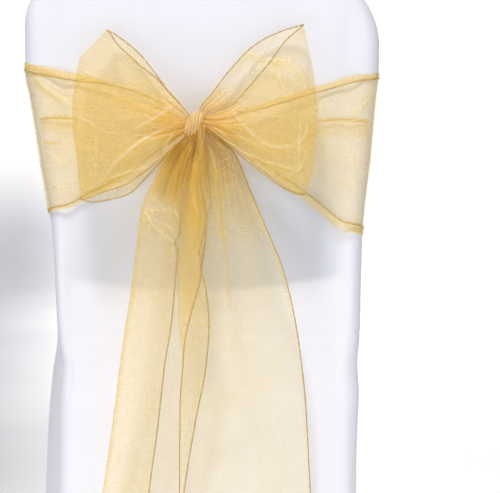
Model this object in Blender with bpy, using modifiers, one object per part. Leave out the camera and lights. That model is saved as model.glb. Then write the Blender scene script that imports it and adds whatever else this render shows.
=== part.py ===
# Stretch cover of a banquet chair, with an organza sash tied in a bow behind its back.
# Metres, +Z up. Z = 0 is the underside of the cover's top, which the chair's top rail carries.
# The back with the bow looks along -Y, and the seat reaches forward along +Y.

import math

import bmesh
import bpy
import numpy as np

COVER_HEIGHT = 0.915
CLOTH = 0.002
RIBBON = 0.0012
SEAM_GAP = 0.0004
RIM_HEIGHT = 0.452
RIM_ROUND = 0.016
SEAT_CROWN = 0.018
INNER_SEAM_HEIGHT = 0.480
SEAM_INSET = 0.014
SEAT_STRIP_START = 0.060
REAR_SEAM_DEPTH = 0.028
REAR_ROUND = 0.022
FRONT_ROUND = 0.030
PAD_HALF_WIDTH = 0.160
PAD_LOW_HEIGHT = 0.545
PAD_TOP_HEIGHT = 0.900
PAD_RISE = 0.0025
PAD_FADE = 0.022
PAD_TOP_FADE = 0.060
PINCH_HEIGHT = 0.440
PINCH_DEPTH = 0.004
PINCH_SPAN = 0.026
PINCH_Y = 0.020

# The cover's own outline at heights above the floor: where its rear and front lie, and how far it reaches to
# the left, to the right and, at the front of the seat, to both sides.
PROFILE_COLUMNS = ("height", "rear", "front", "left", "right", "front_half")
PROFILE = (
    (0.000, -0.052, 0.478, 0.176, 0.177, 0.217),
    (0.140, -0.034, 0.477, 0.177, 0.179, 0.214),
    (0.280, -0.012, 0.474, 0.178, 0.184, 0.208),
    (0.370, 0.004, 0.468, 0.177, 0.188, 0.200),
    (0.432, 0.010, 0.463, 0.177, 0.192, 0.192),
    (0.510, 0.006, 0.080, 0.179, 0.192, 0.193),
    (0.600, -0.003, 0.066, 0.183, 0.192, 0.193),
    (0.700, -0.012, 0.051, 0.197, 0.200, 0.193),
    (0.763, -0.017, 0.042, 0.206, 0.205, 0.193),
    (0.800, -0.020, 0.038, 0.212, 0.208, 0.193),
    (0.917, -0.029, 0.026, 0.213, 0.208, 0.193),
)
# Up to SKIRT_TOP the table follows the skirt, and from BACK_START the slab of the chair's back.
SKIRT_TOP = 0.432
BACK_START = 0.510
SLAB_FRONT_AT_SEAT = 0.084
LEFT_SHOULDER = 0.070
RIGHT_SHOULDER = 0.090
CREST_ROUND = 0.018

SKIRT_LEVELS = (0.000, 0.012, 0.060, 0.125, 0.195, 0.265, 0.325, 0.375, 0.410, 0.432, 0.444)
SLAB_LEVELS = (0.462, 0.490, 0.522, 0.545, 0.560, 0.600, 0.645, 0.690, 0.735, 0.775, 0.805, 0.829)
SHOULDER_LEVELS = (0.848, 0.865, 0.880, 0.893, 0.903, 0.911, 0.9155)

ACROSS = 12
SLAB_STEPS = 5
SEAT_STEPS = 9
CORNER_ANGLES = (0.0, 22.5, 45.0, 67.5, 90.0)

KNOT = (-0.013, -0.180)
KNOT_OUT = 0.023
KNOT_RADII = (0.0125, 0.015, 0.0195)
KNOT_RIDGES = 7
KNOT_RIDGE = 0.0009

# A loop runs from the knot behind, out to its fold and back in front. Each row is one section of the ribbon:
# its share of the loop's reach, the angles of its top and bottom edges seen from behind, its distance from
# the cover, how far its middle bellies out and the depth of its pleats.
LOOP_COLUMNS = ("share", "top", "low", "out", "belly", "pleat")
LEFT_LOOP = (
    (0.07, 150, 238, 0.0180, 0.000, 0.0018),
    (0.22, 143, 231, 0.0185, 0.000, 0.0036),
    (0.42, 131, 231, 0.0190, 0.000, 0.0036),
    (0.64, 130, 230, 0.0185, 0.000, 0.0026),
    (0.84, 132, 222, 0.0205, 0.000, 0.0012),
    (0.96, 133, 216, 0.0250, 0.000, 0.0004),
    (1.00, 134, 213, 0.0310, 0.000, 0.0000),
    (0.965, 134, 214.5, 0.0370, 0.001, 0.0004),
    (0.84, 135, 221, 0.0420, 0.006, 0.0012),
    (0.64, 133, 228, 0.0440, 0.010, 0.0026),
    (0.42, 132, 230, 0.0410, 0.007, 0.0036),
    (0.22, 143, 228, 0.0330, 0.002, 0.0036),
    (0.07, 150, 238, 0.0280, 0.000, 0.0018),
)
RIGHT_LOOP = (
    (0.07, 52, -40, 0.0180, 0.000, 0.0018),
    (0.22, 59, -34, 0.0185, 0.000, 0.0036),
    (0.42, 59, -36, 0.0190, 0.000, 0.0036),
    (0.64, 54, -37, 0.0185, 0.000, 0.0026),
    (0.84, 48, -36.5, 0.0205, 0.000, 0.0012),
    (0.96, 44, -35, 0.0250, 0.000, 0.0004),
    (1.00, 42.6, -33.5, 0.0310, 0.000, 0.0000),
    (0.965, 42.6, -34, 0.0370, 0.001, 0.0004),
    (0.84, 42, -35.3, 0.0420, 0.006, 0.0012),
    (0.64, 37, -34.8, 0.0440, 0.010, 0.0026),
    (0.42, 29, -32.5, 0.0410, 0.007, 0.0036),
    (0.22, 19, -28, 0.0330, 0.002, 0.0036),
    (0.07, 30, -40, 0.0280, 0.000, 0.0018),
)
# How far each loop's fold lies from the knot, from its top edge to its bottom edge.
LEFT_REACH = (0.146, 0.152, 0.141, 0.144, 0.161)
RIGHT_REACH = (0.167, 0.151, 0.141, 0.144, 0.154)

# The band round the chair's back, as sections along its way: 0 at the knot, 1 at the middle of the inner
# back and 2 at the knot again. Its edges are heights above the floor.
BAND_COLUMNS = ("turn", "top", "low", "out", "pleat")
BAND = (
    (0.020, 0.742, 0.728, 0.0108, 0.0008),
    (0.070, 0.755, 0.712, 0.0098, 0.0015),
    (0.140, 0.769, 0.692, 0.0080, 0.0015),
    (0.240, 0.783, 0.665, 0.0056, 0.0012),
    (0.340, 0.794, 0.647, 0.0028, 0.0004),
    (0.420, 0.802, 0.634, 0.0008, 0.0000),
    (0.500, 0.808, 0.627, 0.0020, 0.0000),
    (0.580, 0.806, 0.622, 0.0008, 0.0000),
    (0.780, 0.800, 0.613, 0.0008, 0.0000),
    (1.000, 0.796, 0.606, 0.0008, 0.0000),
    (1.220, 0.792, 0.602, 0.0008, 0.0000),
    (1.420, 0.790, 0.599, 0.0008, 0.0000),
    (1.500, 0.789, 0.599, 0.0020, 0.0000),
    (1.580, 0.785, 0.604, 0.0008, 0.0000),
    (1.660, 0.776, 0.628, 0.0028, 0.0004),
    (1.760, 0.763, 0.663, 0.0056, 0.0012),
    (1.860, 0.753, 0.695, 0.0080, 0.0015),
    (1.930, 0.747, 0.716, 0.0098, 0.0015),
    (1.980, 0.742, 0.728, 0.0108, 0.0008),
)
BAND_BREAKS = (0.0, 0.42, 0.48, 0.52, 0.58, 1.0)

# The tails as sections at heights above the floor. The left one is folded lengthwise: its front layer runs
# from its free edge to the fold, and the rest of it goes back behind that to its other edge.
LEFT_TAIL_COLUMNS = ("height", "free", "fold", "behind", "y", "gap", "pleat")
LEFT_TAIL = (
    (0.722, -0.012, -0.024, -0.004, -0.0400, 0.0035, 0.0010),
    (0.700, -0.015, -0.042, 0.000, -0.0420, 0.0045, 0.0024),
    (0.665, -0.022, -0.062, 0.000, -0.0450, 0.0060, 0.0030),
    (0.620, -0.032, -0.080, -0.007, -0.0480, 0.0070, 0.0024),
    (0.560, -0.037, -0.089, -0.006, -0.0500, 0.0075, 0.0016),
    (0.500, -0.043, -0.097, 0.000, -0.0510, 0.0075, 0.0010),
    (0.435, -0.056, -0.106, -0.005, -0.0510, 0.0070, 0.0006),
    (0.360, -0.064, -0.116, -0.020, -0.0500, 0.0065, 0.0006),
    (0.300, -0.071, -0.124, -0.029, -0.0490, 0.0060, 0.0008),
    (0.232, -0.079, -0.133, -0.038, -0.0480, 0.0060, 0.0010),
)
RIGHT_TAIL_COLUMNS = ("height", "left", "right", "y", "pleat")
RIGHT_TAIL = (
    (0.722, -0.020, 0.006, -0.0300, 0.0016),
    (0.700, -0.021, 0.032, -0.0320, 0.0036),
    (0.665, -0.028, 0.047, -0.0340, 0.0042),
    (0.620, -0.034, 0.066, -0.0350, 0.0034),
    (0.560, -0.036, 0.090, -0.0360, 0.0022),
    (0.500, -0.035, 0.104, -0.0365, 0.0012),
    (0.460, -0.030, 0.110, -0.0370, 0.0008),
    (0.405, -0.033, 0.116, -0.0370, 0.0006),
    (0.300, -0.034, 0.122, -0.0370, 0.0008),
    (0.225, -0.033, 0.127, -0.0365, 0.0010),
)

LOOP_PLEATS = 4
BAND_PLEATS = 3
TAIL_PLEATS = 3
PLEAT_DRIFT = 0.06
LOOP_ACROSS = 16
BAND_ACROSS = 12
TAIL_ACROSS = 16
TAIL_FRONT_STEPS = 6
TAIL_TURN_STEPS = 4
STEPS_A_ROW = 2

SPANDEX = ("cover_spandex", (0.93, 0.93, 0.96, 1.0), 0.75)
ORGANZA = ("sash_organza", (0.86, 0.66, 0.34, 1.0), 0.35)

PANEL_REACH = 0.7
BEHIND_REACH = 0.3


def clear_scene():
    for item in list(bpy.data.objects):
        bpy.data.objects.remove(item, do_unlink=True)


def collection_named(name, hidden=False):
    made = bpy.data.collections.new(name)
    bpy.context.scene.collection.children.link(made)
    made.hide_render = hidden
    return made


def material(name, colour, roughness):
    made = bpy.data.materials.new(name)
    made.use_nodes = True
    shader = made.node_tree.nodes["Principled BSDF"]
    shader.inputs["Base Color"].default_value = colour
    shader.inputs["Roughness"].default_value = roughness
    shader.inputs["Metallic"].default_value = 0.0
    return made


def columns(rows, names):
    """The table's columns by name, as arrays."""
    return dict(zip(names, np.array(rows, float).T))


def slopes(places, values):
    """Slopes of a curve through the points that never overshoots them."""
    steps = np.diff(places)
    rises = np.diff(values) / steps
    found = np.empty_like(values)
    found[0] = rises[0]
    found[-1] = rises[-1]
    for k in range(1, len(values) - 1):
        same_way = rises[k - 1] * rises[k] > 0
        low = 2 * steps[k] + steps[k - 1]
        high = steps[k] + 2 * steps[k - 1]
        found[k] = (low + high) / (low / rises[k - 1] + high / rises[k]) if same_way else 0.0
    return found


def along(places, values, at):
    """The curve through the points, read at one or more places."""
    tangents = slopes(places, values)
    at = np.clip(at, places[0], places[-1])
    k = np.clip(np.searchsorted(places, at, side="right") - 1, 0, len(places) - 2)
    step = places[k + 1] - places[k]
    t = (at - places[k]) / step
    start = values[k] * (1 + 2 * t) * (1 - t) ** 2 + tangents[k] * step * t * (1 - t) ** 2
    end = values[k + 1] * t * t * (3 - 2 * t) + tangents[k + 1] * step * t * t * (t - 1)
    return start + end


def smooth_rows(rows, names, steps):
    """The table's columns with steps sections for each row, on a smooth curve through the rows."""
    table = columns(rows, names)
    places = np.arange(len(rows), dtype=float)
    finer = np.linspace(0, len(rows) - 1, (len(rows) - 1) * steps + 1)
    return {name: along(places, values, finer) for name, values in table.items()}


PROFILE_TABLE = columns(PROFILE, PROFILE_COLUMNS)


def profile(name, height):
    return along(PROFILE_TABLE["height"], PROFILE_TABLE[name], height)


def slab_front(height):
    """The inner back's line, carried down to the seat's rim and kept there below it."""
    if height > BACK_START:
        return float(profile("front", height))
    share = min((BACK_START - height) / (BACK_START - RIM_HEIGHT), 1.0)
    high = float(profile("front", BACK_START))
    return high + (SLAB_FRONT_AT_SEAT - high) * share


def corner(centre, radius, start, square):
    """A quarter turn in five points, from a true arc at square 0 to a sharp corner at square 1."""
    found = []
    for angle in CORNER_ANGLES:
        turned = math.radians(start + angle)
        arc = np.array((math.cos(turned), math.sin(turned)))
        flat = arc / max(abs(arc[0]), abs(arc[1]))
        found.append(np.array(centre) + radius * ((1 - square) * arc + square * flat))
    return found


def ring(rear, front, sides, front_sides, rounds, square=0.0, slab_depth=None, inset=0.0):
    """One level of the cover as rows of points: the rear and the front from left to right, and both sides
    from rear to front. Each corner is in two rows."""
    left, right = sides
    front_left, front_right = front_sides
    rear_round, front_round = rounds
    rear_left = corner((-left + rear_round, rear + rear_round), rear_round, 180, 0.0)
    rear_right = corner((right - rear_round, rear + rear_round), rear_round, 270, 0.0)
    ahead_right = corner((front_right - front_round, front - front_round), front_round, 0, square)
    ahead_left = corner((-front_left + front_round, front - front_round), front_round, 90, square)
    rear_row = rear_left[2:] + between(rear_left[4], rear_right[0], ACROSS - 4) + rear_right[:3]
    front_row = ahead_left[2::-1] + between(ahead_left[0], ahead_right[4], ACROSS - 4) + ahead_right[4:1:-1]
    left_row = rear_left[2::-1]
    right_row = rear_right[2:]
    if slab_depth is None:
        left_row = left_row + ahead_left[4:1:-1]
        right_row = right_row + ahead_right[:3]
    else:
        slab = rear + slab_depth
        for y in (slab - rear_round, slab - rear_round / 2, slab):
            left_row.append(on_line(rear_left[0], ahead_left[4], y))
            right_row.append(on_line(rear_right[4], ahead_right[0], y))
        left_row += between(left_row[-1], ahead_left[4], SEAT_STEPS - 2) + ahead_left[4:1:-1]
        right_row += between(right_row[-1], ahead_right[0], SEAT_STEPS - 2) + ahead_right[:3]
    return rear_row, front_row, left_row, right_row


def between(start, end, count):
    """The points that cut the way from start to end into count steps, without its ends."""
    return [start + (end - start) * k / count for k in range(1, count)]


def on_line(start, end, y):
    share = (y - start[1]) / (end[1] - start[1])
    return start + (end - start) * share


def pinched(point, height):
    """The cover drawn in a little at the seat's level, where the chair's back meets its seat."""
    x, y = point
    nearness = math.exp(-(((height - PINCH_HEIGHT) / PINCH_SPAN) ** 2) - ((y - PINCH_Y) / PINCH_SPAN) ** 2)
    return x - math.copysign(PINCH_DEPTH * nearness, x) * (abs(x) > PAD_HALF_WIDTH)


def padded(point, height):
    """The rear with the pad's flat face a little proud of the rest."""
    x, y = point
    rear = float(profile("rear", height))
    over = smooth_step((PAD_HALF_WIDTH - abs(x)) / PAD_FADE + 0.5)
    over *= smooth_step((height - PAD_LOW_HEIGHT) / PAD_FADE + 0.5)
    over *= smooth_step((PAD_TOP_HEIGHT - height) / PAD_TOP_FADE)
    return y - PAD_RISE * over * (y < rear + PAD_RISE)


def smooth_step(share):
    share = min(max(share, 0.0), 1.0)
    return share * share * (3 - 2 * share)


class Sheet:
    """Vertices and faces collected for one mesh, where points at one place are one vertex."""

    def __init__(self):
        self.mesh = bmesh.new()
        self.known = {}

    def vertex(self, point):
        key = tuple(round(float(value), 6) for value in point)
        if key not in self.known:
            self.known[key] = self.mesh.verts.new([float(value) for value in point])
        return self.known[key]

    def grid(self, rows):
        """Quads between rows of points, facing the right hand of the rows when their points run upwards."""
        for low, high in zip(rows, rows[1:]):
            for k in range(len(low) - 1):
                corners = (low[k], low[k + 1], high[k + 1], high[k])
                vertices = list(dict.fromkeys(self.vertex(point) for point in corners))
                if len(vertices) > 2:
                    self.mesh.faces.new(vertices)

    def finished(self, name):
        bmesh.ops.recalc_face_normals(self.mesh, faces=self.mesh.faces[:])
        made = bpy.data.meshes.new(name)
        self.mesh.to_mesh(made)
        self.mesh.free()
        for face in made.polygons:
            face.use_smooth = True
        return made


def lifted(row, height):
    """A level's points in space, with the pinch and the pad."""
    return [(pinched(point, height), padded(point, height), height - COVER_HEIGHT) for point in row]


def skirt_level(height):
    rear = float(profile("rear", height))
    front = float(profile("front", min(height, SKIRT_TOP)))
    drawn = rim_inset(height)
    sides = (float(profile("left", height)), float(profile("right", height)))
    front_half = float(profile("front_half", min(height, SKIRT_TOP))) - drawn
    rows = ring(
        rear,
        front - drawn,
        sides,
        (front_half, front_half),
        (REAR_ROUND, FRONT_ROUND),
        slab_depth=slab_front(height) - rear,
    )
    return [lifted(row, height) for row in rows]


def rim_inset(height):
    """How far the skirt is drawn in where it turns over the seat's rim."""
    over = min(max(height - (RIM_HEIGHT - RIM_ROUND), 0.0), RIM_ROUND)
    return RIM_ROUND - math.sqrt(RIM_ROUND**2 - over**2)


def drawn_in(radius, height):
    """How far a quarter turn of this radius below the top has come in at a height."""
    over = min(max(height - (COVER_HEIGHT + CLOTH - radius), 0.0), radius)
    return radius - math.sqrt(radius * radius - over * over)


def slab_level(height, square=0.0):
    """A level of the chair's back. Near the top its shoulders turn in and it thins to the crest."""
    crest = drawn_in(CREST_ROUND, height)
    rear = float(profile("rear", height)) + crest
    front = slab_front(height) - crest
    left = float(profile("left", height)) - drawn_in(LEFT_SHOULDER, height)
    right = float(profile("right", height)) - drawn_in(RIGHT_SHOULDER, height)
    corner_round = min(REAR_ROUND, 0.4 * (front - rear))
    rows = ring(rear, front, (left, right), (left, right), (corner_round, corner_round), square=square)
    return [lifted(row, height) for row in rows]


def cap(rear, front, left, right, rise):
    """A grid that closes a level, from its rear row to its front row, raised by rise(across, ahead)."""
    rows = []
    for j in range(len(left)):
        row = []
        for i in range(ACROSS + 1):
            if j in (0, len(left) - 1) or i in (0, ACROSS):
                edge = rear if j == 0 else front
                row.append(left[j] if i == 0 else right[j] if i == ACROSS else edge[i])
                continue
            across = (front[i][0] - front[0][0]) / (front[-1][0] - front[0][0])
            ahead = (left[j][1] - left[0][1]) / (left[-1][1] - left[0][1])
            x = left[j][0] + (right[j][0] - left[j][0]) * across
            y = rear[i][1] + (front[i][1] - rear[i][1]) * ahead
            z = left[j][2] + rise(i / ACROSS, j / (len(left) - 1))
            row.append((x, y, z))
        rows.append(row)
    return rows


def seat_rise(across, ahead):
    """The cushion's crown over the seat."""
    return SEAT_CROWN * (1 - abs(2 * across - 1) ** 5) * (1 - ahead**7)


def top_rise(across, ahead):
    return COVER_HEIGHT + CLOTH - SHOULDER_LEVELS[-1]


def cover_mesh():
    """The whole cover as one open skin, whose outer face is the cloth's outer face."""
    sheet = Sheet()
    skirt = [skirt_level(height) for height in SKIRT_LEVELS + (RIM_HEIGHT,)]
    slab = [slab_level(RIM_HEIGHT, 1.0)]
    slab += [slab_level(height, max(1 - k / 2, 0.0)) for k, height in enumerate(SLAB_LEVELS, 1)]
    slab += [slab_level(height) for height in SHOULDER_LEVELS]
    rim_rear, rim_front, rim_left, rim_right = skirt[-1]
    seat_line = [
        (x, y, z + seat_rise(i / ACROSS, 0.0) * (0 < i < ACROSS)) for i, (x, y, z) in enumerate(slab[0][1])
    ]
    seat_line[0] = rim_left[SLAB_STEPS]
    seat_line[-1] = rim_right[SLAB_STEPS]
    slab[0] = [rim_rear, seat_line, rim_left[: SLAB_STEPS + 1], rim_right[: SLAB_STEPS + 1]]
    for part in range(4):
        sheet.grid([level[part] for level in skirt])
        sheet.grid([level[part] for level in slab])
    sheet.grid(cap(seat_line, rim_front, rim_left[SLAB_STEPS:], rim_right[SLAB_STEPS:], seat_rise))
    sheet.grid(cap(*slab[-1], top_rise))
    return sheet.finished("cover skin")


def prism(name, outline, axis, low, high):
    """A cutter: a closed outline run along one axis."""
    work = bmesh.new()
    ends = []
    for place in (low, high):
        points = [(place, *point) if axis == "x" else (*point, place) for point in outline]
        ends.append([work.verts.new(point) for point in points])
    work.faces.new(ends[0])
    work.faces.new(ends[1])
    for k in range(len(outline)):
        work.faces.new((ends[0][k - 1], ends[0][k], ends[1][k], ends[1][k - 1]))
    bmesh.ops.recalc_face_normals(work, faces=work.faces[:])
    made = bpy.data.meshes.new(name)
    work.to_mesh(made)
    work.free()
    cutter = bpy.data.objects.new(name, made)
    cutter.hide_render = True
    cutter.display_type = "WIRE"
    return cutter


def seam_line():
    """Where the rear panel's seam runs, as (y, z) from below the hem to above the top."""
    heights = (-0.05, 0.0, 0.10, 0.20, 0.30, 0.37, 0.42, 0.47, 0.53, 0.60, 0.70, 0.80, 0.87, 0.98)
    return [
        (float(profile("rear", height)) + REAR_SEAM_DEPTH, height - COVER_HEIGHT) for height in heights
    ]


def panel_cutters(collection):
    """Closed shapes that each hold one sewn panel, with half a seam gap left on either side."""
    half = SEAM_GAP / 2
    line = seam_line()
    low, high = line[0][1], line[-1][1]
    seam_z = INNER_SEAM_HEIGHT - COVER_HEIGHT
    edge = {-1: float(profile("left", RIM_HEIGHT)), 1: float(profile("right", RIM_HEIGHT))}
    ahead_x = float(profile("front_half", SKIRT_TOP)) - SEAM_INSET

    def strip_edge(side, shift):
        start = (side * (edge[side] - SEAM_INSET + shift), SEAT_STRIP_START)
        return start, (side * (ahead_x + shift), PANEL_REACH)

    behind = [(y - half, z) for y, z in line] + [(-BEHIND_REACH, high), (-BEHIND_REACH, low)]
    ahead = [(y + half, z) for y, z in line] + [(PANEL_REACH, high), (PANEL_REACH, low)]
    plan = (*strip_edge(-1, -half), *strip_edge(1, -half)[::-1])
    above = ((-0.5, -0.3), (0.5, -0.3), (0.5, PANEL_REACH), (-0.5, PANEL_REACH))
    cutters = {
        "behind": prism("behind seam", behind, "x", -0.5, 0.5),
        "ahead": prism("ahead of seam", ahead, "x", -0.5, 0.5),
        "above": prism("above seat seam", above, "z", seam_z + half, 0.2),
        "seat": prism("seat strip", plan, "z", -1.1, seam_z - half),
    }
    for side, name in ((-1, "left"), (1, "right")):
        start, end = strip_edge(side, half)
        inner = ((side * 0.05, -0.1), (side * 0.05, SEAT_STRIP_START - SEAM_GAP))
        outer = (end, (side * 0.5, PANEL_REACH), (side * 0.5, -0.1))
        outline = (*inner, (start[0], SEAT_STRIP_START - SEAM_GAP), *outer)
        cutters[name] = prism(f"{name} side", outline, "z", -1.1, seam_z - half)
    for cutter in cutters.values():
        collection.objects.link(cutter)
    return cutters


def add_boolean(target, name, operation, solver, cutter):
    modifier = target.modifiers.new(name, "BOOLEAN")
    modifier.operation = operation
    modifier.solver = solver
    modifier.object = cutter


def add_thickness(target, thickness, offset):
    modifier = target.modifiers.new("cloth", "SOLIDIFY")
    modifier.thickness = thickness
    modifier.offset = offset
    modifier.use_even_offset = False


def cover_panels(collection, cutters, finish):
    panels = {
        "cover_back": ("behind",),
        "cover_inner_back": ("ahead", "above"),
        "cover_seat_front": ("ahead", "seat"),
        "cover_side_left": ("ahead", "left"),
        "cover_side_right": ("ahead", "right"),
    }
    skin = cover_mesh()
    for name, held_in in panels.items():
        panel = bpy.data.objects.new(name, skin.copy())
        panel.data.materials.append(finish)
        collection.objects.link(panel)
        add_thickness(panel, CLOTH, -1.0)
        for place in held_in:
            add_boolean(panel, f"in {place}", "INTERSECT", "EXACT", cutters[place])
    bpy.data.meshes.remove(skin)


def wave(across, pleats):
    """Uneven pleats across the ribbon, from one edge at 0 to the other at 1."""
    return math.cos(math.tau * pleats * (across + PLEAT_DRIFT * math.sin(math.tau * across)))


def rear_face(height):
    return float(profile("rear", height))


def loop_sections(rows, reach):
    table = smooth_rows(rows, LOOP_COLUMNS, STEPS_A_ROW)
    reach_places = np.linspace(0, 1, len(reach))
    sections = []
    for k in range(len(table["share"])):
        section = []
        for j in range(LOOP_ACROSS + 1):
            v = j / LOOP_ACROSS
            angle = math.radians(table["top"][k] * (1 - v) + table["low"][k] * v)
            distance = table["share"][k] * float(along(reach_places, np.array(reach), v))
            x = KNOT[0] + distance * math.cos(angle)
            z = KNOT[1] + distance * math.sin(angle)
            out = table["out"][k] + table["belly"][k] * math.sin(math.pi * v)
            out += table["pleat"][k] * wave(v, LOOP_PLEATS)
            section.append((x, rear_face(KNOT[1] + COVER_HEIGHT) - out, z))
        sections.append(section)
    return sections


def slab_point(turn, height, out):
    """A point beside the slab of the chair's back, out from its face, at a share of the way round it."""
    behind = turn if turn <= 1 else 2 - turn
    side = -1 if turn <= 1 else 1
    rear = rear_face(height)
    front = slab_front(height)
    half = float(profile("left" if side < 0 else "right", height))
    radius = REAR_ROUND
    first, second, third, fourth = BAND_BREAKS[1:5]
    if behind <= first:
        start = KNOT[0] * side
        x = start + (half - radius - start) * behind / first
        place, facing = (x, rear), (0.0, -1.0)
    elif behind <= second:
        turned = math.pi / 2 * (behind - first) / (second - first)
        facing = (math.sin(turned), -math.cos(turned))
        place = (half - radius + radius * facing[0], rear + radius + radius * facing[1])
    elif behind <= third:
        share = (behind - second) / (third - second)
        place = (half, rear + radius + (front - rear - 2 * radius) * share)
        facing = (1.0, 0.0)
    elif behind <= fourth:
        turned = math.pi / 2 * (behind - third) / (fourth - third)
        facing = (math.cos(turned), math.sin(turned))
        place = (half - radius + radius * facing[0], front - radius + radius * facing[1])
    else:
        share = (behind - fourth) / (1 - fourth)
        place = ((half - radius) * (1 - share), front)
        facing = (0.0, 1.0)
    out = out + RIBBON / 2
    if facing[1] < -0.5:
        out += PAD_RISE * smooth_step((PAD_HALF_WIDTH - abs(place[0])) / PAD_FADE + 1.4)
    return (side * (place[0] + facing[0] * out), place[1] + facing[1] * out, height - COVER_HEIGHT)


def band_sections():
    """The band's sections, with extra ones where it turns round the edges of the chair's back."""
    table = columns(BAND, BAND_COLUMNS)
    turns = list(np.linspace(0.02, 0.42, 11))
    turns += [0.435, 0.45, 0.465, 0.48, 0.5, 0.52, 0.535, 0.55, 0.565, 0.58]
    turns += list(np.linspace(0.58, 1.0, 6))[1:]
    turns += [2 - turn for turn in turns[-2::-1]]
    sections = []
    for turn in turns:
        values = {name: float(along(table["turn"], table[name], turn)) for name in BAND_COLUMNS}
        section = []
        for j in range(BAND_ACROSS + 1):
            v = j / BAND_ACROSS
            height = values["top"] * (1 - v) + values["low"] * v
            out = values["out"] + values["pleat"] * (1 + wave(v, BAND_PLEATS))
            section.append(slab_point(turn, height, out))
        sections.append(section)
    return sections


def left_tail_sections():
    """Sections that run from the free edge to the fold in front and back to the other edge behind. Both
    layers sway alike, so that they never meet."""
    table = smooth_rows(LEFT_TAIL, LEFT_TAIL_COLUMNS, STEPS_A_ROW)
    back_steps = TAIL_ACROSS - TAIL_FRONT_STEPS - TAIL_TURN_STEPS
    sections = []
    for k in range(len(table["height"])):
        free, fold, behind = (table[name][k] for name in ("free", "fold", "behind"))
        radius = table["gap"][k] / 2
        edge = fold + radius
        front_shares = [j / TAIL_FRONT_STEPS for j in range(TAIL_FRONT_STEPS)]
        section = [(free + (edge - free) * share, -2 * radius) for share in front_shares]
        for j in range(TAIL_TURN_STEPS + 1):
            turned = math.pi * j / TAIL_TURN_STEPS
            section.append((edge - radius * math.sin(turned), -radius - radius * math.cos(turned)))
        section += [(edge + (behind - edge) * j / back_steps, 0.0) for j in range(1, back_steps + 1)]
        points = []
        for x, y in section:
            sway = table["pleat"][k] * wave((x - fold) / (behind - fold), TAIL_PLEATS)
            points.append((x, table["y"][k] + y + sway, table["height"][k] - COVER_HEIGHT))
        sections.append(points)
    return sections


def right_tail_sections():
    table = smooth_rows(RIGHT_TAIL, RIGHT_TAIL_COLUMNS, STEPS_A_ROW)
    sections = []
    for k in range(len(table["height"])):
        section = []
        for j in range(TAIL_ACROSS + 1):
            v = j / TAIL_ACROSS
            x = table["left"][k] * (1 - v) + table["right"][k] * v
            y = table["y"][k] + table["pleat"][k] * wave(v, TAIL_PLEATS)
            section.append((x, y, table["height"][k] - COVER_HEIGHT))
        sections.append(section)
    return sections


def ribbon(name, sections, collection, finish):
    """One stretch of the sash: an open sheet through its sections, given the ribbon's thickness."""
    sheet = Sheet()
    sheet.grid(sections)
    stretch = bpy.data.objects.new(name, sheet.finished(name))
    stretch.data.materials.append(finish)
    stretch.hide_render = True
    stretch.display_type = "WIRE"
    collection.objects.link(stretch)
    add_thickness(stretch, RIBBON, 0.0)
    return stretch


def knot(collection, finish):
    """The wrap that holds the bow, ridged by its gathers, as the body that the stretches are joined to."""
    work = bmesh.new()
    bmesh.ops.create_uvsphere(work, u_segments=28, v_segments=14, radius=1.0)
    for vertex in work.verts:
        x, y, z = vertex.co
        ridge = 1 + KNOT_RIDGE / KNOT_RADII[0] * math.cos(KNOT_RIDGES * math.atan2(y, x))
        vertex.co = (x * KNOT_RADII[0] * ridge, y * KNOT_RADII[1] * ridge, z * KNOT_RADII[2])
    made = bpy.data.meshes.new("sash")
    work.to_mesh(made)
    work.free()
    for face in made.polygons:
        face.use_smooth = True
    sash = bpy.data.objects.new("sash", made)
    sash.data.materials.append(finish)
    sash.location = (KNOT[0], rear_face(KNOT[1] + COVER_HEIGHT) - KNOT_OUT, KNOT[1])
    collection.objects.link(sash)
    return sash


def tie_sash(collection, stretches, finish):
    sash = knot(collection, finish)
    shapes = {
        "band": band_sections(),
        "left loop": loop_sections(LEFT_LOOP, LEFT_REACH),
        "right loop": loop_sections(RIGHT_LOOP, RIGHT_REACH),
        "left tail": left_tail_sections(),
        "right tail": right_tail_sections(),
    }
    for name, sections in shapes.items():
        add_boolean(sash, f"with {name}", "UNION", "MANIFOLD", ribbon(name, sections, stretches, finish))


def main():
    clear_scene()
    part = collection_named("chair cover with sash")
    helpers = collection_named("cutters and stretches", hidden=True)
    cover_panels(part, panel_cutters(helpers), material(*SPANDEX))
    tie_sash(part, helpers, material(*ORGANZA))


main()
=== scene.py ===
import math

import bmesh
import bpy
import numpy as np
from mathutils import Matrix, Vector


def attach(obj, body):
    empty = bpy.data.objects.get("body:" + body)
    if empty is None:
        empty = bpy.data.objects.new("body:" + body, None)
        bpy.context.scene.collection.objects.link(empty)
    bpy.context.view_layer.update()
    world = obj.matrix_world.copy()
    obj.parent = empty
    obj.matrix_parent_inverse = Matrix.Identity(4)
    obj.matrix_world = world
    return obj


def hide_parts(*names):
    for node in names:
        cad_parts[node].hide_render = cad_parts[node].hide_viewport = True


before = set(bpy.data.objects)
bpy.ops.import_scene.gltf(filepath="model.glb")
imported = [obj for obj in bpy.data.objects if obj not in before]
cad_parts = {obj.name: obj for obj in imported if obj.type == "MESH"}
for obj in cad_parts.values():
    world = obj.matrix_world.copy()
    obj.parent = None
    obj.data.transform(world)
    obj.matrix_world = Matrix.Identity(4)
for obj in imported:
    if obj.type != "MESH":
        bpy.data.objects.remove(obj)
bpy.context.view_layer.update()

# Heights in the tables are above the floor. Z = 0 is under the cover's top.
coverHeight = 0.915


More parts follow.
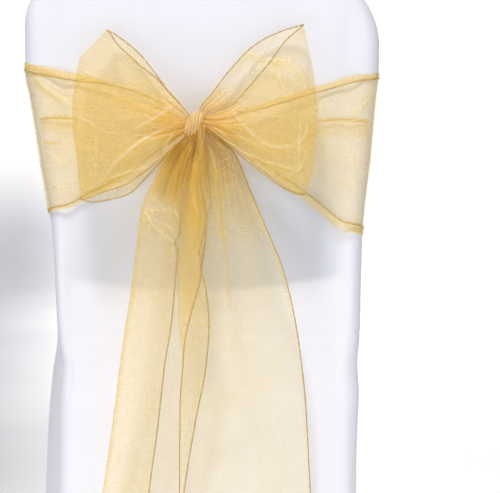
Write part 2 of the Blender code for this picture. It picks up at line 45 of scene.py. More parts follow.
# Curves through tables.
def slopes(places, values):
    steps = np.diff(places)
    rises = np.diff(values) / steps
    found = np.empty_like(values)
    found[0] = rises[0]
    found[-1] = rises[-1]
    for k in range(1, len(values) - 1):
        sameWay = rises[k - 1] * rises[k] > 0
        low = 2 * steps[k] + steps[k - 1]
        high = steps[k] + 2 * steps[k - 1]
        found[k] = (low + high) / (low / rises[k - 1] + high / rises[k]) if sameWay else 0.0
    return found


def along(places, values, at):
    places = np.asarray(places, float)
    values = np.asarray(values, float)
    tangents = slopes(places, values)
    at = np.clip(at, places[0], places[-1])
    k = np.clip(np.searchsorted(places, at, side="right") - 1, 0, len(places) - 2)
    step = places[k + 1] - places[k]
    t = (at - places[k]) / step
    start = values[k] * (1 + 2 * t) * (1 - t) ** 2 + tangents[k] * step * t * (1 - t) ** 2
    end = values[k + 1] * t * t * (3 - 2 * t) + tangents[k + 1] * step * t * t * (t - 1)
    return start + end


def columnsOf(rows, names):
    return dict(zip(names, np.array(rows, float).T))


def smoothTable(rows, names, count):
    places = np.arange(len(rows), dtype=float)
    finer = np.linspace(0, len(rows) - 1, count)
    return {name: along(places, values, finer) for name, values in columnsOf(rows, names).items()}


def smoothStep(share):
    share = np.clip(share, 0.0, 1.0)
    return share * share * (3 - 2 * share)


# Shader maths as expressions.
class Value:
    def __init__(self, tree, socket):
        self.tree = tree
        self.socket = socket

    def joined(self, operation, first, second):
        return self.tree.node("ShaderNodeMath", {"operation": operation}, {0: first, 1: second})

    def __add__(self, other):
        return self.joined("ADD", self, other)

    def __radd__(self, other):
        return self.joined("ADD", other, self)

    def __sub__(self, other):
        return self.joined("SUBTRACT", self, other)

    def __rsub__(self, other):
        return self.joined("SUBTRACT", other, self)

    def __mul__(self, other):
        return self.joined("MULTIPLY", self, other)

    def __rmul__(self, other):
        return self.joined("MULTIPLY", other, self)

    def __pow__(self, other):
        return self.joined("POWER", self, other)

    def __rpow__(self, other):
        return self.joined("POWER", other, self)


class Finish:
    def __init__(self, name):
        self.material = bpy.data.materials.new(name)
        self.material.use_nodes = True
        self.nodes = self.material.node_tree.nodes
        self.links = self.material.node_tree.links
        self.nodes.clear()

    def feed(self, socket, value):
        if isinstance(value, Value):
            self.links.new(value.socket, socket)
        else:
            socket.default_value = value

    def node(self, kind, settings=None, sockets=None, output=0):
        made = self.nodes.new(kind)
        for name, value in (settings or {}).items():
            setattr(made, name, value)
        for name, value in (sockets or {}).items():
            self.feed(made.inputs[name], value)
        return Value(self, made.outputs[output]) if made.outputs else made

    def mixed(self, factor, first, second):
        made = self.nodes.new("ShaderNodeMix")
        made.data_type = "RGBA"
        for name, value in (("Factor", factor), ("A", first), ("B", second)):
            self.feed(next(item for item in made.inputs if item.name == name and item.enabled), value)
        return Value(self, next(item for item in made.outputs if item.enabled))

    def here(self):
        return self.node("ShaderNodeTexCoord", None, None, "Object")

    def noise(self, vector, scale, detail=2.0, dimensions="3D", output=0):
        sockets = {"Vector": vector, "Scale": scale, "Detail": detail}
        return self.node("ShaderNodeTexNoise", {"noise_dimensions": dimensions}, sockets, output)

    def eased(self, value, low, high, start=0.0, end=1.0):
        sockets = {"Value": value, "From Min": low, "From Max": high, "To Min": start, "To Max": end}
        return self.node("ShaderNodeMapRange", {"interpolation_type": "SMOOTHSTEP"}, sockets)

    def bump(self, height, strength, distance):
        return self.node("ShaderNodeBump", None, {"Height": height, "Strength": strength, "Distance": distance})

    def surface(self, sockets):
        shader = self.node("ShaderNodeBsdfPrincipled", None, sockets)
        self.node("ShaderNodeOutputMaterial", None, {"Surface": shader})
        return self.material


# The white stretch knit.
spandexLook = {
    "colour": (0.855, 0.86, 0.925, 1.0),
    "shade": (0.81, 0.82, 0.91, 1.0),
    "padShadowGrey": (0.55, 0.58, 0.65, 1.0),
    "roughness": 0.62,
    "walesPerMetre": 620,
    "bump": 0.25,
    # Where the painted shadow below the bow lies: each range runs from none of it to all of it.
    "padAhead": (0.030, 0.010),
    "padAcross": (0.030, 0.018),
    "padTop": (-0.170, -0.260),
    "padEdge": (-0.388, -0.376),
    "padEdgeCurve": 0.77,
    "padShadowShare": (-0.10, 0.08, 0.40, 0.64),
}


def spandexFinish():
    finish = Finish("spandex knit")
    look = spandexLook
    place = finish.here()
    ribs = finish.node("ShaderNodeMapping", None, {"Vector": place, "Scale": (1.0, 1.0, 0.28)})
    knit = finish.noise(ribs, look["walesPerMetre"])
    broad = finish.noise(place, 7.0)
    colour = finish.mixed(broad * 0.5 + knit * 0.3 - 0.1, look["colour"], look["shade"])
    # Grey painted over the pad below the bow: a painted shadow of the bow, stronger towards the right, and
    # partly the chair's pad showing through the stretched knit.
    x, y, z = (finish.node("ShaderNodeSeparateXYZ", None, {"Vector": place}, axis) for axis in "XYZ")
    padShadowed = finish.eased(y, *look["padAhead"]) * finish.eased(x * x, *look["padAcross"])
    padShadowed = padShadowed * finish.eased(z, *look["padTop"])
    padShadowed = padShadowed * finish.eased(z - x * x * look["padEdgeCurve"], *look["padEdge"])
    colour = finish.mixed(padShadowed * finish.eased(x, *look["padShadowShare"]), colour, look["padShadowGrey"])
    bump = finish.bump(knit, look["bump"], 0.0004)
    return finish.surface({
        "Base Color": colour,
        "Roughness": knit * 0.15 + (look["roughness"] - 0.08),
        "Normal": bump,
        "Sheen Weight": 0.12,
        "Sheen Roughness": 0.4,
        "Specular IOR Level": 0.35,
    })


# The gold organza. Its alpha is one layer's cover, and more layers make it richer.
# On each point "layers" multiplies the cloth, and "glint" is a lit crease above 0 and a shaded fold below.
organzaLook = {
    "colour": (0.95, 0.69, 0.17, 1.0),
    "paintedHighlight": (1.0, 0.94, 0.70, 1.0),
    "shaded": (0.50, 0.31, 0.07, 1.0),
    "through": (1.0, 0.77, 0.20, 1.0),
    "throughShare": 0.5,
    "clear": (1.0, 0.982, 0.925, 1.0),
    "alpha": 0.21,
    "roughness": 0.36,
    "threads": (60.0, 1500.0, 1.0),
    "picks": (1500.0, 60.0, 1.0),
    "streaks": (8.0, 120.0, 1.0),
    # Two sets of crease lines: their scale, the lines' width and how strong they are.
    "radial": ((5.0, 52.0, 1.0), 0.050, 0.42),
    "facets": ((17.0, 24.0, 1.0), 0.028, 0.34),
    "patches": (0.42, 0.60),
    "waver": 0.008,
    "grain": 430.0,
    # How much the weave, the grain and broad patches change the cover, and what creases and folds add.
    "weaveShare": 0.26,
    "grainShare": 0.20,
    "broadShare": 0.18,
    "litCover": 0.42,
    "darkCover": 0.30,
}


def drawnNoise(finish, place, scale, detail=2.0):
    # Noise drawn out along the threads.
    drawn = finish.node("ShaderNodeMapping", None, {"Vector": place, "Scale": scale})
    return finish.noise(drawn, 1.0, detail, "2D")


def creaseLines(finish, place, scale, width, strength):
    # Thin straight creases between the flat facets of crushed cloth.
    scaled = finish.node("ShaderNodeMapping", None, {"Vector": place, "Scale": scale})
    cells = {"voronoi_dimensions": "2D", "feature": "DISTANCE_TO_EDGE"}
    edges = finish.node("ShaderNodeTexVoronoi", cells, {"Vector": scaled, "Scale": 1.0})
    return finish.eased(edges, 0.0, width, 1.0, 0.0) * strength


def organzaFinish():
    look = organzaLook
    finish = Finish("gold organza")
    flat = finish.node("ShaderNodeUVMap", {"uv_map": "flat"})
    dense, glint, crushed = (
        finish.node("ShaderNodeAttribute", {"attribute_name": name}, None, "Fac")
        for name in ("layers", "glint", "crushed")
    )
    weave = (drawnNoise(finish, flat, look["threads"]) + drawnNoise(finish, flat, look["picks"])) * 0.5
    streak = drawnNoise(finish, flat, look["streaks"], 3.0)
    broad = finish.noise(flat, 16.0)
    crush = finish.noise(flat, 60.0, 4.0)
    grain = finish.noise(flat, look["grain"], dimensions="2D")
    bent = finish.noise(flat, 20.0, output="Color")
    wavered = finish.node("ShaderNodeVectorMath", {"operation": "SCALE"}, {0: bent, "Scale": look["waver"]})
    wavered = finish.node("ShaderNodeVectorMath", {"operation": "ADD"}, {0: flat, 1: wavered})
    low, high = look["patches"]
    patchy = finish.node("ShaderNodeMapRange", None, {"Value": broad, "From Min": low, "From Max": high})
    # The crease lines bump the surface and are also painted into the colour as highlights.
    lines = creaseLines(finish, wavered, *look["radial"]) + creaseLines(finish, wavered, *look["facets"])
    lines = lines * patchy * crushed
    lit = finish.node("ShaderNodeClamp", None, {"Value": glint + lines})
    dark = finish.node("ShaderNodeClamp", None, {"Value": glint * -1})
    uneven = (streak - 0.5) * (crushed * 0.22 + 0.02)
    fine = ((weave - 0.5) * look["weaveShare"] + (grain - 0.5) * look["grainShare"]) * dense ** -0.5
    layer = fine + uneven + (broad - 0.5) * look["broadShare"] + look["alpha"]
    alpha = 1 - (1 - layer) ** dense + lit * look["litCover"] + dark * look["darkCover"]
    alpha = finish.node("ShaderNodeClamp", None, {"Value": alpha})
    # Painted highlight on lit creases and painted shade in folds, mixed into the colour.
    colour = finish.mixed(lit, look["colour"], look["paintedHighlight"])
    colour = finish.mixed(dark, colour, look["shaded"])
    front = finish.node("ShaderNodeBsdfPrincipled", None, {
        "Base Color": colour,
        "Roughness": weave * 0.2 + (look["roughness"] - 0.1),
        "Normal": finish.bump(crush + streak * 0.6 + lines * 0.9, 0.6, 0.0016),
        "Sheen Weight": 0.25,
        "Sheen Roughness": 0.35,
        "Sheen Tint": (1.0, 0.93, 0.75, 1.0),
        "Specular IOR Level": 0.6,
    })
    through = finish.node("ShaderNodeBsdfTranslucent", None, {"Color": look["through"]})
    threadsLit = finish.node("ShaderNodeMixShader", None, {0: look["throughShare"], 1: front, 2: through})
    clear = finish.node("ShaderNodeBsdfTransparent", None, {"Color": look["clear"]})
    shown = finish.node("ShaderNodeMixShader", None, {0: alpha, 1: clear, 2: threadsLit})
    finish.node("ShaderNodeOutputMaterial", None, {"Surface": shown})
    return finish.material


hemLook = {"colour": (0.64, 0.39, 0.08, 1.0), "light": (0.97, 0.71, 0.24, 1.0), "alpha": 0.86}


def hemFinish():
    finish = Finish("rolled hem")
    twist = finish.noise(finish.here(), 420.0, 1.0)
    colour = finish.mixed(twist, hemLook["colour"], hemLook["light"])
    return finish.surface({
        "Base Color": colour,
        "Roughness": twist * 0.2 + 0.35,
        "Alpha": twist * 0.2 + (hemLook["alpha"] - 0.1),
        "Normal": finish.bump(twist, 0.5, 0.0006),
    })


def threadFinish():
    finish = Finish("white sewing thread")
    ply = finish.noise(finish.here(), 2400.0)
    return finish.surface({
        "Base Color": (0.80, 0.80, 0.86, 1.0),
        "Roughness": ply * 0.2 + 0.4,
        "Normal": finish.bump(ply, 0.4, 0.0002),
    })


# Meshes.
def inScene(name, data):
    made = bpy.data.objects.new(name, data)
    bpy.context.scene.collection.objects.link(made)
    return made


def gridObject(name, points, flat, finish, **marks):
    rows, across = points.shape[:2]
    index = np.arange(rows * across).reshape(rows, across)
    quads = np.stack([index[:-1, :-1], index[:-1, 1:], index[1:, 1:], index[1:, :-1]], -1).reshape(-1, 4)
    mesh = bpy.data.meshes.new(name)
    mesh.from_pydata(points.reshape(-1, 3).tolist(), [], quads.tolist())
    corner = np.zeros(len(mesh.loops), np.int32)
    mesh.loops.foreach_get("vertex_index", corner)
    layer = mesh.uv_layers.new(name="flat")
    layer.data.foreach_set("uv", flat.reshape(-1, 2)[corner].ravel())
    for title, values in marks.items():
        values = np.broadcast_to(values, (rows, across))
        mesh.attributes.new(title, "FLOAT", "POINT").data.foreach_set("value", values.ravel())
    mesh.materials.append(finish)
    mesh.shade_smooth()
    return inScene(name, mesh)


def flatPlaces(points, width):
    # Each point's place on the flat cloth: how far along it, then how far across.
    middle = points[:, points.shape[1] // 2]
    steps = np.linalg.norm(np.diff(middle, axis=0), axis=1)
    way = np.concatenate([[0.0], np.cumsum(steps)])
    across = np.linspace(0, width, points.shape[1])
    return np.stack(np.broadcast_arrays(way[:, None], across[None, :]), -1)


# The cover's own outline: where its rear and front lie, and how far it reaches to each side.
coverShape = {
    "columns": ("height", "rear", "front", "left", "right", "frontHalf"),
    "rows": (
        (0.000, -0.052, 0.478, 0.176, 0.177, 0.217),
        (0.140, -0.034, 0.477, 0.177, 0.179, 0.214),
        (0.280, -0.012, 0.474, 0.178, 0.184, 0.208),
        (0.370, 0.004, 0.468, 0.177, 0.188, 0.200),
        (0.432, 0.010, 0.463, 0.177, 0.192, 0.192),
        (0.510, 0.006, 0.080, 0.179, 0.192, 0.193),
        (0.600, -0.003, 0.066, 0.183, 0.192, 0.193),
        (0.700, -0.012, 0.051, 0.197, 0.200, 0.193),
        (0.763, -0.017, 0.042, 0.206, 0.205, 0.193),
        (0.800, -0.020, 0.038, 0.212, 0.208, 0.193),
        (0.917, -0.029, 0.026, 0.213, 0.208, 0.193),
    ),
    "cloth": 0.0008,
    "top": 0.917,
    "rim": 0.452,
    "rimRound": 0.016,
    "skirtTop": 0.432,
    "backStart": 0.510,
    "slabFrontAtSeat": 0.084,
    "crown": 0.018,
    "rearRound": 0.022,
    "frontRound": 0.030,
    "leftShoulder": 0.070,
    "rightShoulder": 0.090,
    "crest": 0.018,
    "seamDepth": 0.028,
    "innerSeam": 0.480,
    "seamInset": 0.014,
    "stripStart": 0.060,
    "padHalf": 0.160,
    "lean": 0.012,
    "leanTop": 0.665,
    "leanLow": 0.400,
    "padLow": 0.537,
    "padLowCurve": 0.014,
    "padLowFade": 0.013,
    "padTop": 0.900,
    "padRise": 0.0025,
    "padFade": 0.022,
    "padTopFade": 0.060,
    "pinchHeight": 0.440,
    "pinchDepth": 0.004,
    "pinchSpan": 0.026,
    "pinchY": 0.020,
    "hem": 0.020,
    "stitchHeights": (0.0165, 0.0125),
    "seamValley": 0.0011,
    "seamWidth": 0.0016,
    "hemThicker": 0.0004,
    "uneven": 0.0004,
    "innerReach": 0.13,
    "stripEnd": 0.70,
    "faceDepth": 0.012,
    "faceFade": 0.008,
    "faceHalf": 0.178,
    "faceSideFade": 0.020,
    "cushionFade": 0.030,
    "hemLevels": (0.0, 0.006, 0.012, 0.017, 0.0193, 0.0207, 0.023, 0.029),
    "skirtStart": 0.036,
    "closing": (0.35, 0.7, 0.9, 1.0),
    "seamRows": (-0.004, -0.0015, 0.0, 0.0015, 0.004),
}
coverTable = columnsOf(coverShape["rows"], coverShape["columns"])


def profile(name, height):
    return along(coverTable["height"], coverTable[name], height)


def slabFront(height):
    high = profile("front", coverShape["backStart"])
    share = np.clip((coverShape["backStart"] - height) / (coverShape["backStart"] - coverShape["rim"]), 0, 1)
    below = high + (coverShape["slabFrontAtSeat"] - high) * share
    return np.where(height > coverShape["backStart"], profile("front", height), below)


def drawnIn(radius, height, top):
    over = np.clip(height - (top - radius), 0.0, radius)
    return radius - np.sqrt(radius * radius - over * over)


def arc(centre, radius, start, end, steps, square=0.0):
    turned = np.radians(np.linspace(start, end, steps + 1))
    curved = np.stack([np.cos(turned), np.sin(turned)], -1)
    flat = curved / np.abs(curved).max(axis=1, keepdims=True)
    return np.array(centre) + radius * ((1 - square) * curved + square * flat)


def straight(start, end, shares):
    start, end = np.array(start), np.array(end)
    return start + (end - start) * np.asarray(shares)[:, None]


nearSeam = np.array([0.0, 0.12, 0.3, 0.6, 1.0])
quarter = 8
frontSteps = 44
sideSteps = 28


def rearRow(rear, left, right, corner, seam):
    # From the left seam round the rear to the right seam.
    parts = [
        straight((-left, seam), (-left, rear + corner), nearSeam)[:-1],
        arc((-left + corner, rear + corner), corner, 180, 270, quarter),
        straight((-left + corner, rear), (right - corner, rear), np.linspace(0, 1, 91))[1:-1],
        arc((right - corner, rear + corner), corner, 270, 360, quarter),
        straight((right, rear + corner), (right, seam), 1 - nearSeam[::-1])[1:],
    ]
    return np.concatenate(parts)


def slabSide(left, front, corner, seam, square):
    # The slab's left side from the seam to the middle of its front corner.
    side = straight((-left, seam), (-left, front - corner), nearSeam[:-1])
    turn = arc((-left + corner, front - corner), corner, 180, 135, quarter // 2, square)
    return np.concatenate([side, turn])


def mirrored(row):
    return row[::-1] * (-1, 1)


def levelHeights():
    shape = coverShape
    skirt = np.linspace(shape["skirtStart"], shape["rim"] - shape["rimRound"], 60)
    rim = shape["rim"] - shape["rimRound"] + shape["rimRound"] * np.sin(np.radians(np.linspace(15, 90, 6)))
    slab = np.linspace(shape["rim"], shape["top"] - shape["rightShoulder"], 84)
    turned = np.radians(np.linspace(0, 90, 26))[1:]
    top = shape["top"] - shape["rightShoulder"] * (1 - np.sin(turned))
    return np.concatenate([shape["hemLevels"], skirt, rim]), np.concatenate([slab, top])


def slabLevel(height):
    # Rear, front, left, right and corner of the chair's back at a height.
    shape = coverShape
    crest = drawnIn(shape["crest"], height, shape["top"])
    rear = profile("rear", height) + crest
    front = slabFront(height) - crest
    left = profile("left", height) - drawnIn(shape["leftShoulder"], height, shape["top"])
    right = profile("right", height) - drawnIn(shape["rightShoulder"], height, shape["top"])
    return rear, front, left, right, min(shape["rearRound"], 0.4 * (front - rear))


def placed(row, height):
    # A level's points in space, drawn in at the seat and with the pad's face.
    shape = coverShape
    x, y = row[:, 0], row[:, 1]
    span = shape["pinchSpan"]
    near = np.exp(-(((height - shape["pinchHeight"]) / span) ** 2) - ((y - shape["pinchY"]) / span) ** 2)
    rear = profile("rear", height)
    over = smoothStep((shape["padHalf"] - np.abs(x)) / shape["padFade"] + 0.5)
    low = shape["padLow"] + shape["padLowCurve"] * (np.abs(x) / shape["padHalf"]) ** 4
    over = over * smoothStep((height - low) / shape["padLowFade"] + 0.5)
    over = over * smoothStep((shape["padTop"] - height) / shape["padTopFade"])
    above = (shape["leanTop"] - height) / (shape["leanTop"] - low)
    below = (height - shape["leanLow"]) / (low - shape["leanLow"])
    drawn = np.where(height > low, above, below)
    face = smoothStep((rear + shape["faceDepth"] - y) / shape["faceFade"])
    face = face * smoothStep((shape["faceHalf"] - np.abs(x)) / shape["faceSideFade"])
    y = y + shape["lean"] * np.clip(drawn, 0, 1) * face
    x = x - np.sign(x) * shape["pinchDepth"] * near * (np.abs(x) > shape["padHalf"])
    y = y - shape["padRise"] * over * (row[:, 1] < rear + shape["padRise"])
    return np.stack([x, y, np.full_like(x, height - coverHeight)], -1)


def closed(row):
    # The rows that close the top, drawn on from its last row to the seam.
    seam = profile("rear", coverShape["top"]) + coverShape["seamDepth"]
    return [row + (0, 1, 0) * (seam - row) * share for share in coverShape["closing"]]


def backGrid():
    shape = coverShape
    rows = []
    skirt, slab = levelHeights()
    for height in skirt:
        rear = profile("rear", height)
        corner = shape["rearRound"]
        left, right = profile("left", height), profile("right", height)
        row = rearRow(rear, left, right, corner, rear + shape["seamDepth"])
        rows.append(placed(row, height))
    for height in slab[1:]:
        rear, front, left, right, corner = slabLevel(height)
        row = rearRow(rear, left, right, corner, profile("rear", height) + shape["seamDepth"])
        rows.append(placed(row, height))
    return np.array(rows + closed(rows[-1]))


def skirtAhead(height):
    # One level of the skirt from the left seam round the front to the right seam, in five stretches.
    shape = coverShape
    rear = profile("rear", height)
    seam = rear + shape["seamDepth"]
    drawn = drawnIn(shape["rimRound"], height, shape["rim"])
    front = profile("front", min(height, shape["skirtTop"])) - drawn
    half = profile("frontHalf", min(height, shape["skirtTop"])) - drawn
    corner = shape["frontRound"]
    slab = slabFront(height)
    model = slabSide(half, 1.0, shape["rearRound"] / (slab - seam), 0.0, 1.0)[:, 1]
    sides = []
    for reach in (profile("left", height), profile("right", height)):
        start = np.array((-reach, rear + shape["rearRound"]))
        end = np.array((-half, front - corner))

        def onSide(y):
            return start + (end - start) * ((y - start[1]) / (end[1] - start[1]))[:, None]

        slabPart = onSide(seam + (slab - seam) * model)
        seatPart = onSide(np.linspace(slab, end[1], sideSteps + 1))
        turn = arc((-half + corner, front - corner), corner, 180, 135, quarter // 2)
        sides.append((slabPart, np.concatenate([seatPart[:-1], turn])))
    turn = arc((-half + corner, front - corner), corner, 135, 90, quarter // 2)
    middle = straight((-half + corner, front), (half - corner, front), np.linspace(0, 1, frontSteps + 1))
    ahead = np.concatenate([turn[:-1], middle, mirrored(turn)[1:]])
    (leftSlab, leftSeat), (rightSlab, rightSeat) = sides
    rows = [leftSlab, leftSeat, ahead, mirrored(rightSeat), mirrored(rightSlab)]
    return [placed(row, height) for row in rows]


def slabAhead(height, square):
    # One level of the chair's back from the left seam round the inner back to the right seam.
    shape = coverShape
    rear, front, left, right, corner = slabLevel(height)
    seam = profile("rear", height) + shape["seamDepth"]
    leftSide = slabSide(left, front, corner, seam, square)
    rightSide = slabSide(right, front, corner, seam, square)
    leftTurn = arc((-left + corner, front - corner), corner, 135, 90, quarter // 2, square)
    rightTurn = arc((-right + corner, front - corner), corner, 135, 90, quarter // 2, square)
    middle = straight((-left + corner, front), (right - corner, front), np.linspace(0, 1, frontSteps + 1))
    ahead = np.concatenate([leftTurn[:-1], middle, mirrored(rightTurn)[1:]])
    return [placed(row, height) for row in (leftSide, ahead, mirrored(rightSide))]


def seatShares(steps, turnSteps, whole, turnShare, both):
    # Where each column of the seat lies in the cushion's crown, whose corners take up a set share of it.
    turn = np.linspace(0, 1, turnSteps + 1) * turnShare / whole
    if both:
        middle = turnShare / whole + np.linspace(0, 1, steps + 1) * (1 - 2 * turnShare / whole)
        return np.concatenate([turn[:-1], middle, 1 - turn[::-1][1:]])
    middle = np.linspace(0, 1, steps + 1) * (1 - turnShare / whole)
    return np.concatenate([middle[:-1], 1 - turn[::-1]])


def seatGrid(rear, front, left, right):
    across = seatShares(frontSteps, quarter // 2, 12, 2, True)
    ahead = seatShares(sideSteps, quarter // 2, 9, 2, False)
    share = (front[:, 0] - front[0, 0]) / (front[-1, 0] - front[0, 0])
    reach = (left[:, 1] - left[0, 1]) / (left[-1, 1] - left[0, 1])
    x = left[:, 0, None] + (right[:, 0] - left[:, 0])[:, None] * share
    y = rear[:, 1] + (front[:, 1] - rear[:, 1]) * reach[:, None]
    x[0], x[-1] = rear[:, 0], front[:, 0]
    y[:, 0], y[:, -1] = left[:, 1], right[:, 1]
    rise = coverShape["crown"] * (1 - np.abs(2 * across - 1) ** 5) * (1 - ahead[:, None] ** 7)
    z = left[0, 2] + rise
    return np.stack([x, y, z], -1)


def addGrid(work, points):
    rows, across = points.shape[:2]
    vertices = [[work.verts.new(point) for point in row] for row in points.tolist()]
    for j in range(rows - 1):
        for i in range(across - 1):
            work.faces.new((vertices[j][i], vertices[j][i + 1], vertices[j + 1][i + 1], vertices[j + 1][i]))


def aheadSkin():
    # Everything ahead of the rear seam as one skin: the skirt, the seat and the inner back.
    shape = coverShape
    work = bmesh.new()
    skirtHeights, slabHeights = levelHeights()
    skirt = [skirtAhead(height) for height in skirtHeights]
    squares = np.clip(1 - (slabHeights - shape["rim"]) / shape["cushionFade"], 0, 1)
    slab = [slabAhead(height, square) for height, square in zip(slabHeights, squares)]
    leftSlab, leftSeat, ahead, rightSeat, rightSlab = skirt[-1]
    seat = seatGrid(slab[0][1], ahead, leftSeat, rightSeat[::-1])
    slab[0] = [leftSlab, seat[0], rightSlab]
    for part in range(5):
        addGrid(work, np.array([level[part] for level in skirt]))
    for part in range(3):
        addGrid(work, np.array([level[part] for level in slab]))
    addGrid(work, seat)
    left, ahead, right = slab[-1]
    top = np.concatenate([left, ahead[1:], right[1:]])
    addGrid(work, np.array([top, *closed(top)]))
    bmesh.ops.remove_doubles(work, verts=work.verts[:], dist=2e-5)
    bmesh.ops.dissolve_degenerate(work, edges=work.edges[:], dist=1e-6)
    return work


def stripPlane(side):
    shape = coverShape
    edge = profile("left" if side < 0 else "right", shape["rim"]) - shape["seamInset"]
    ahead = profile("frontHalf", shape["skirtTop"]) - shape["seamInset"]
    start = np.array((side * float(edge), shape["stripStart"], 0.0))
    way = np.array((side * float(ahead), shape["stripEnd"], 0.0)) - start
    normal = np.array((way[1], -way[0], 0.0)) * side
    return start, normal / np.linalg.norm(normal)


def cutPanels(work):
    shape = coverShape
    seamZ = shape["innerSeam"] - coverHeight
    for offset in shape["seamRows"]:
        faces = [face for face in work.faces if face.calc_center_median().y < shape["innerReach"]]
        cutBy(work, faces, (0, 0, seamZ + offset), (0, 0, 1))
    for side in (-1, 1):
        start, normal = stripPlane(side)
        for offset in shape["seamRows"]:
            faces = [face for face in work.faces if face.calc_center_median().z < seamZ]
            cutBy(work, faces, start + normal * offset, normal)


def cutBy(work, faces, place, normal):
    edges = {edge for face in faces for edge in face.edges}
    vertices = {vertex for face in faces for vertex in face.verts}
    bmesh.ops.bisect_plane(
        work, geom=[*faces, *edges, *vertices], dist=1e-6, plane_co=Vector(place), plane_no=Vector(normal)
    )


def panelOf(centre):
    if centre.z > coverShape["innerSeam"] - coverHeight:
        return "inner_back"
    for side, name in ((-1, "side_left"), (1, "side_right")):
        start, normal = stripPlane(side)
        if (np.array(centre) - start) @ normal > 0:
            return name
    return "seat_front"


def seamNearness(points):
    # 1 on a seam and 0 a few millimetres from it.
    shape = coverShape
    heights = points[:, 2] + coverHeight
    away = np.abs(points[:, 1] - profile("rear", heights) - shape["seamDepth"])
    seamZ = shape["innerSeam"] - coverHeight
    low = points[:, 2] < seamZ + 1e-5
    for side in (-1, 1):
        start, normal = stripPlane(side)
        away = np.where(low, np.minimum(away, np.abs((points - start) @ normal)), away)
    inner = points[:, 1] < shape["innerReach"]
    away = np.where(inner, np.minimum(away, np.abs(points[:, 2] - seamZ)), away)
    return np.exp(-((away / shape["seamWidth"]) ** 2))


def dressed(made):
    # Draws the seams in, thickens the hem and adds the knit's soft unevenness.
    shape = coverShape
    mesh = made.data
    points = np.empty(len(mesh.vertices) * 3)
    mesh.vertices.foreach_get("co", points)
    points = points.reshape(-1, 3)
    normals = np.empty(len(mesh.vertices) * 3)
    mesh.vertex_normals.foreach_get("vector", normals)
    normals = normals.reshape(-1, 3)
    heights = points[:, 2] + coverHeight
    shift = -shape["seamValley"] * seamNearness(points)
    shift += shape["hemThicker"] * smoothStep((shape["hem"] - heights) / 0.0012 + 0.5)
    x, y, z = points.T
    waves = np.sin(41 * x + 17 * z + 3 * np.sin(9 * z + 5 * y)) * np.sin(23 * z - 13 * y + 1.3)
    shift += shape["uneven"] * waves
    points += normals * shift[:, None]
    mesh.vertices.foreach_set("co", points.ravel())
    mesh.update()
    cloth = made.modifiers.new("cloth", "SOLIDIFY")
    cloth.thickness = shape["cloth"]
    cloth.offset = -1.0


def buildCover(finish):
    points = backGrid()
    flat = flatPlaces(points, 0.44)
    pieces = {"back": gridObject("cover_back_cloth", points, flat, finish)}
    work = aheadSkin()
    cutPanels(work)
    bmesh.ops.recalc_face_normals(work, faces=work.faces[:])
    names = {}
    for face in work.faces:
        names.setdefault(panelOf(face.calc_center_median()), []).append(face.index)
    for name in names:
        panel = work.copy()
        panel.faces.ensure_lookup_table()
        kept = set(names[name])
        gone = [face for face in panel.faces if face.index not in kept]
        bmesh.ops.delete(panel, geom=gone, context="FACES")
        mesh = bpy.data.meshes.new(f"cover_{name}_cloth")
        panel.to_mesh(mesh)
        panel.free()
        mesh.materials.append(finish)
        mesh.shade_smooth()
        pieces[name] = inScene(mesh.name, mesh)
    work.free()
    for piece in pieces.values():
        dressed(piece)
    return pieces


# The sash.
ribbonWidth = 0.200
thinnest = 0.3
bowMiddle = (-0.013, -0.180)
knotShape = {
    "x": -0.0170,
    "z": -0.1795,
    "out": 0.028,
    "radii": (0.0105, 0.0130, 0.0135),
    "ridges": 5.5,
    "ridgeRise": 0.09,
    "sway": 0.0035,
    "layers": 3.0,
    "glint": 0.62,
    "crushed": 0.3,
}


def pleats(v, u, shape):
    # Uneven pleats: their phase over the ribbon, and how strong each one is.
    seed = shape["seed"]
    drifted = v + shape["drift"] * np.sin(math.tau * 1.6 * v + seed) + 0.012 * np.sin(7 * u + 9 * v + seed)
    strength = 0.62 + 0.38 * np.sin(math.tau * 2.3 * v + 1.7 * seed)
    return math.tau * shape["pleats"] * drifted, strength


def pinned(v, width=0.05):
    return smoothStep(v / width) * smoothStep((1 - v) / width)


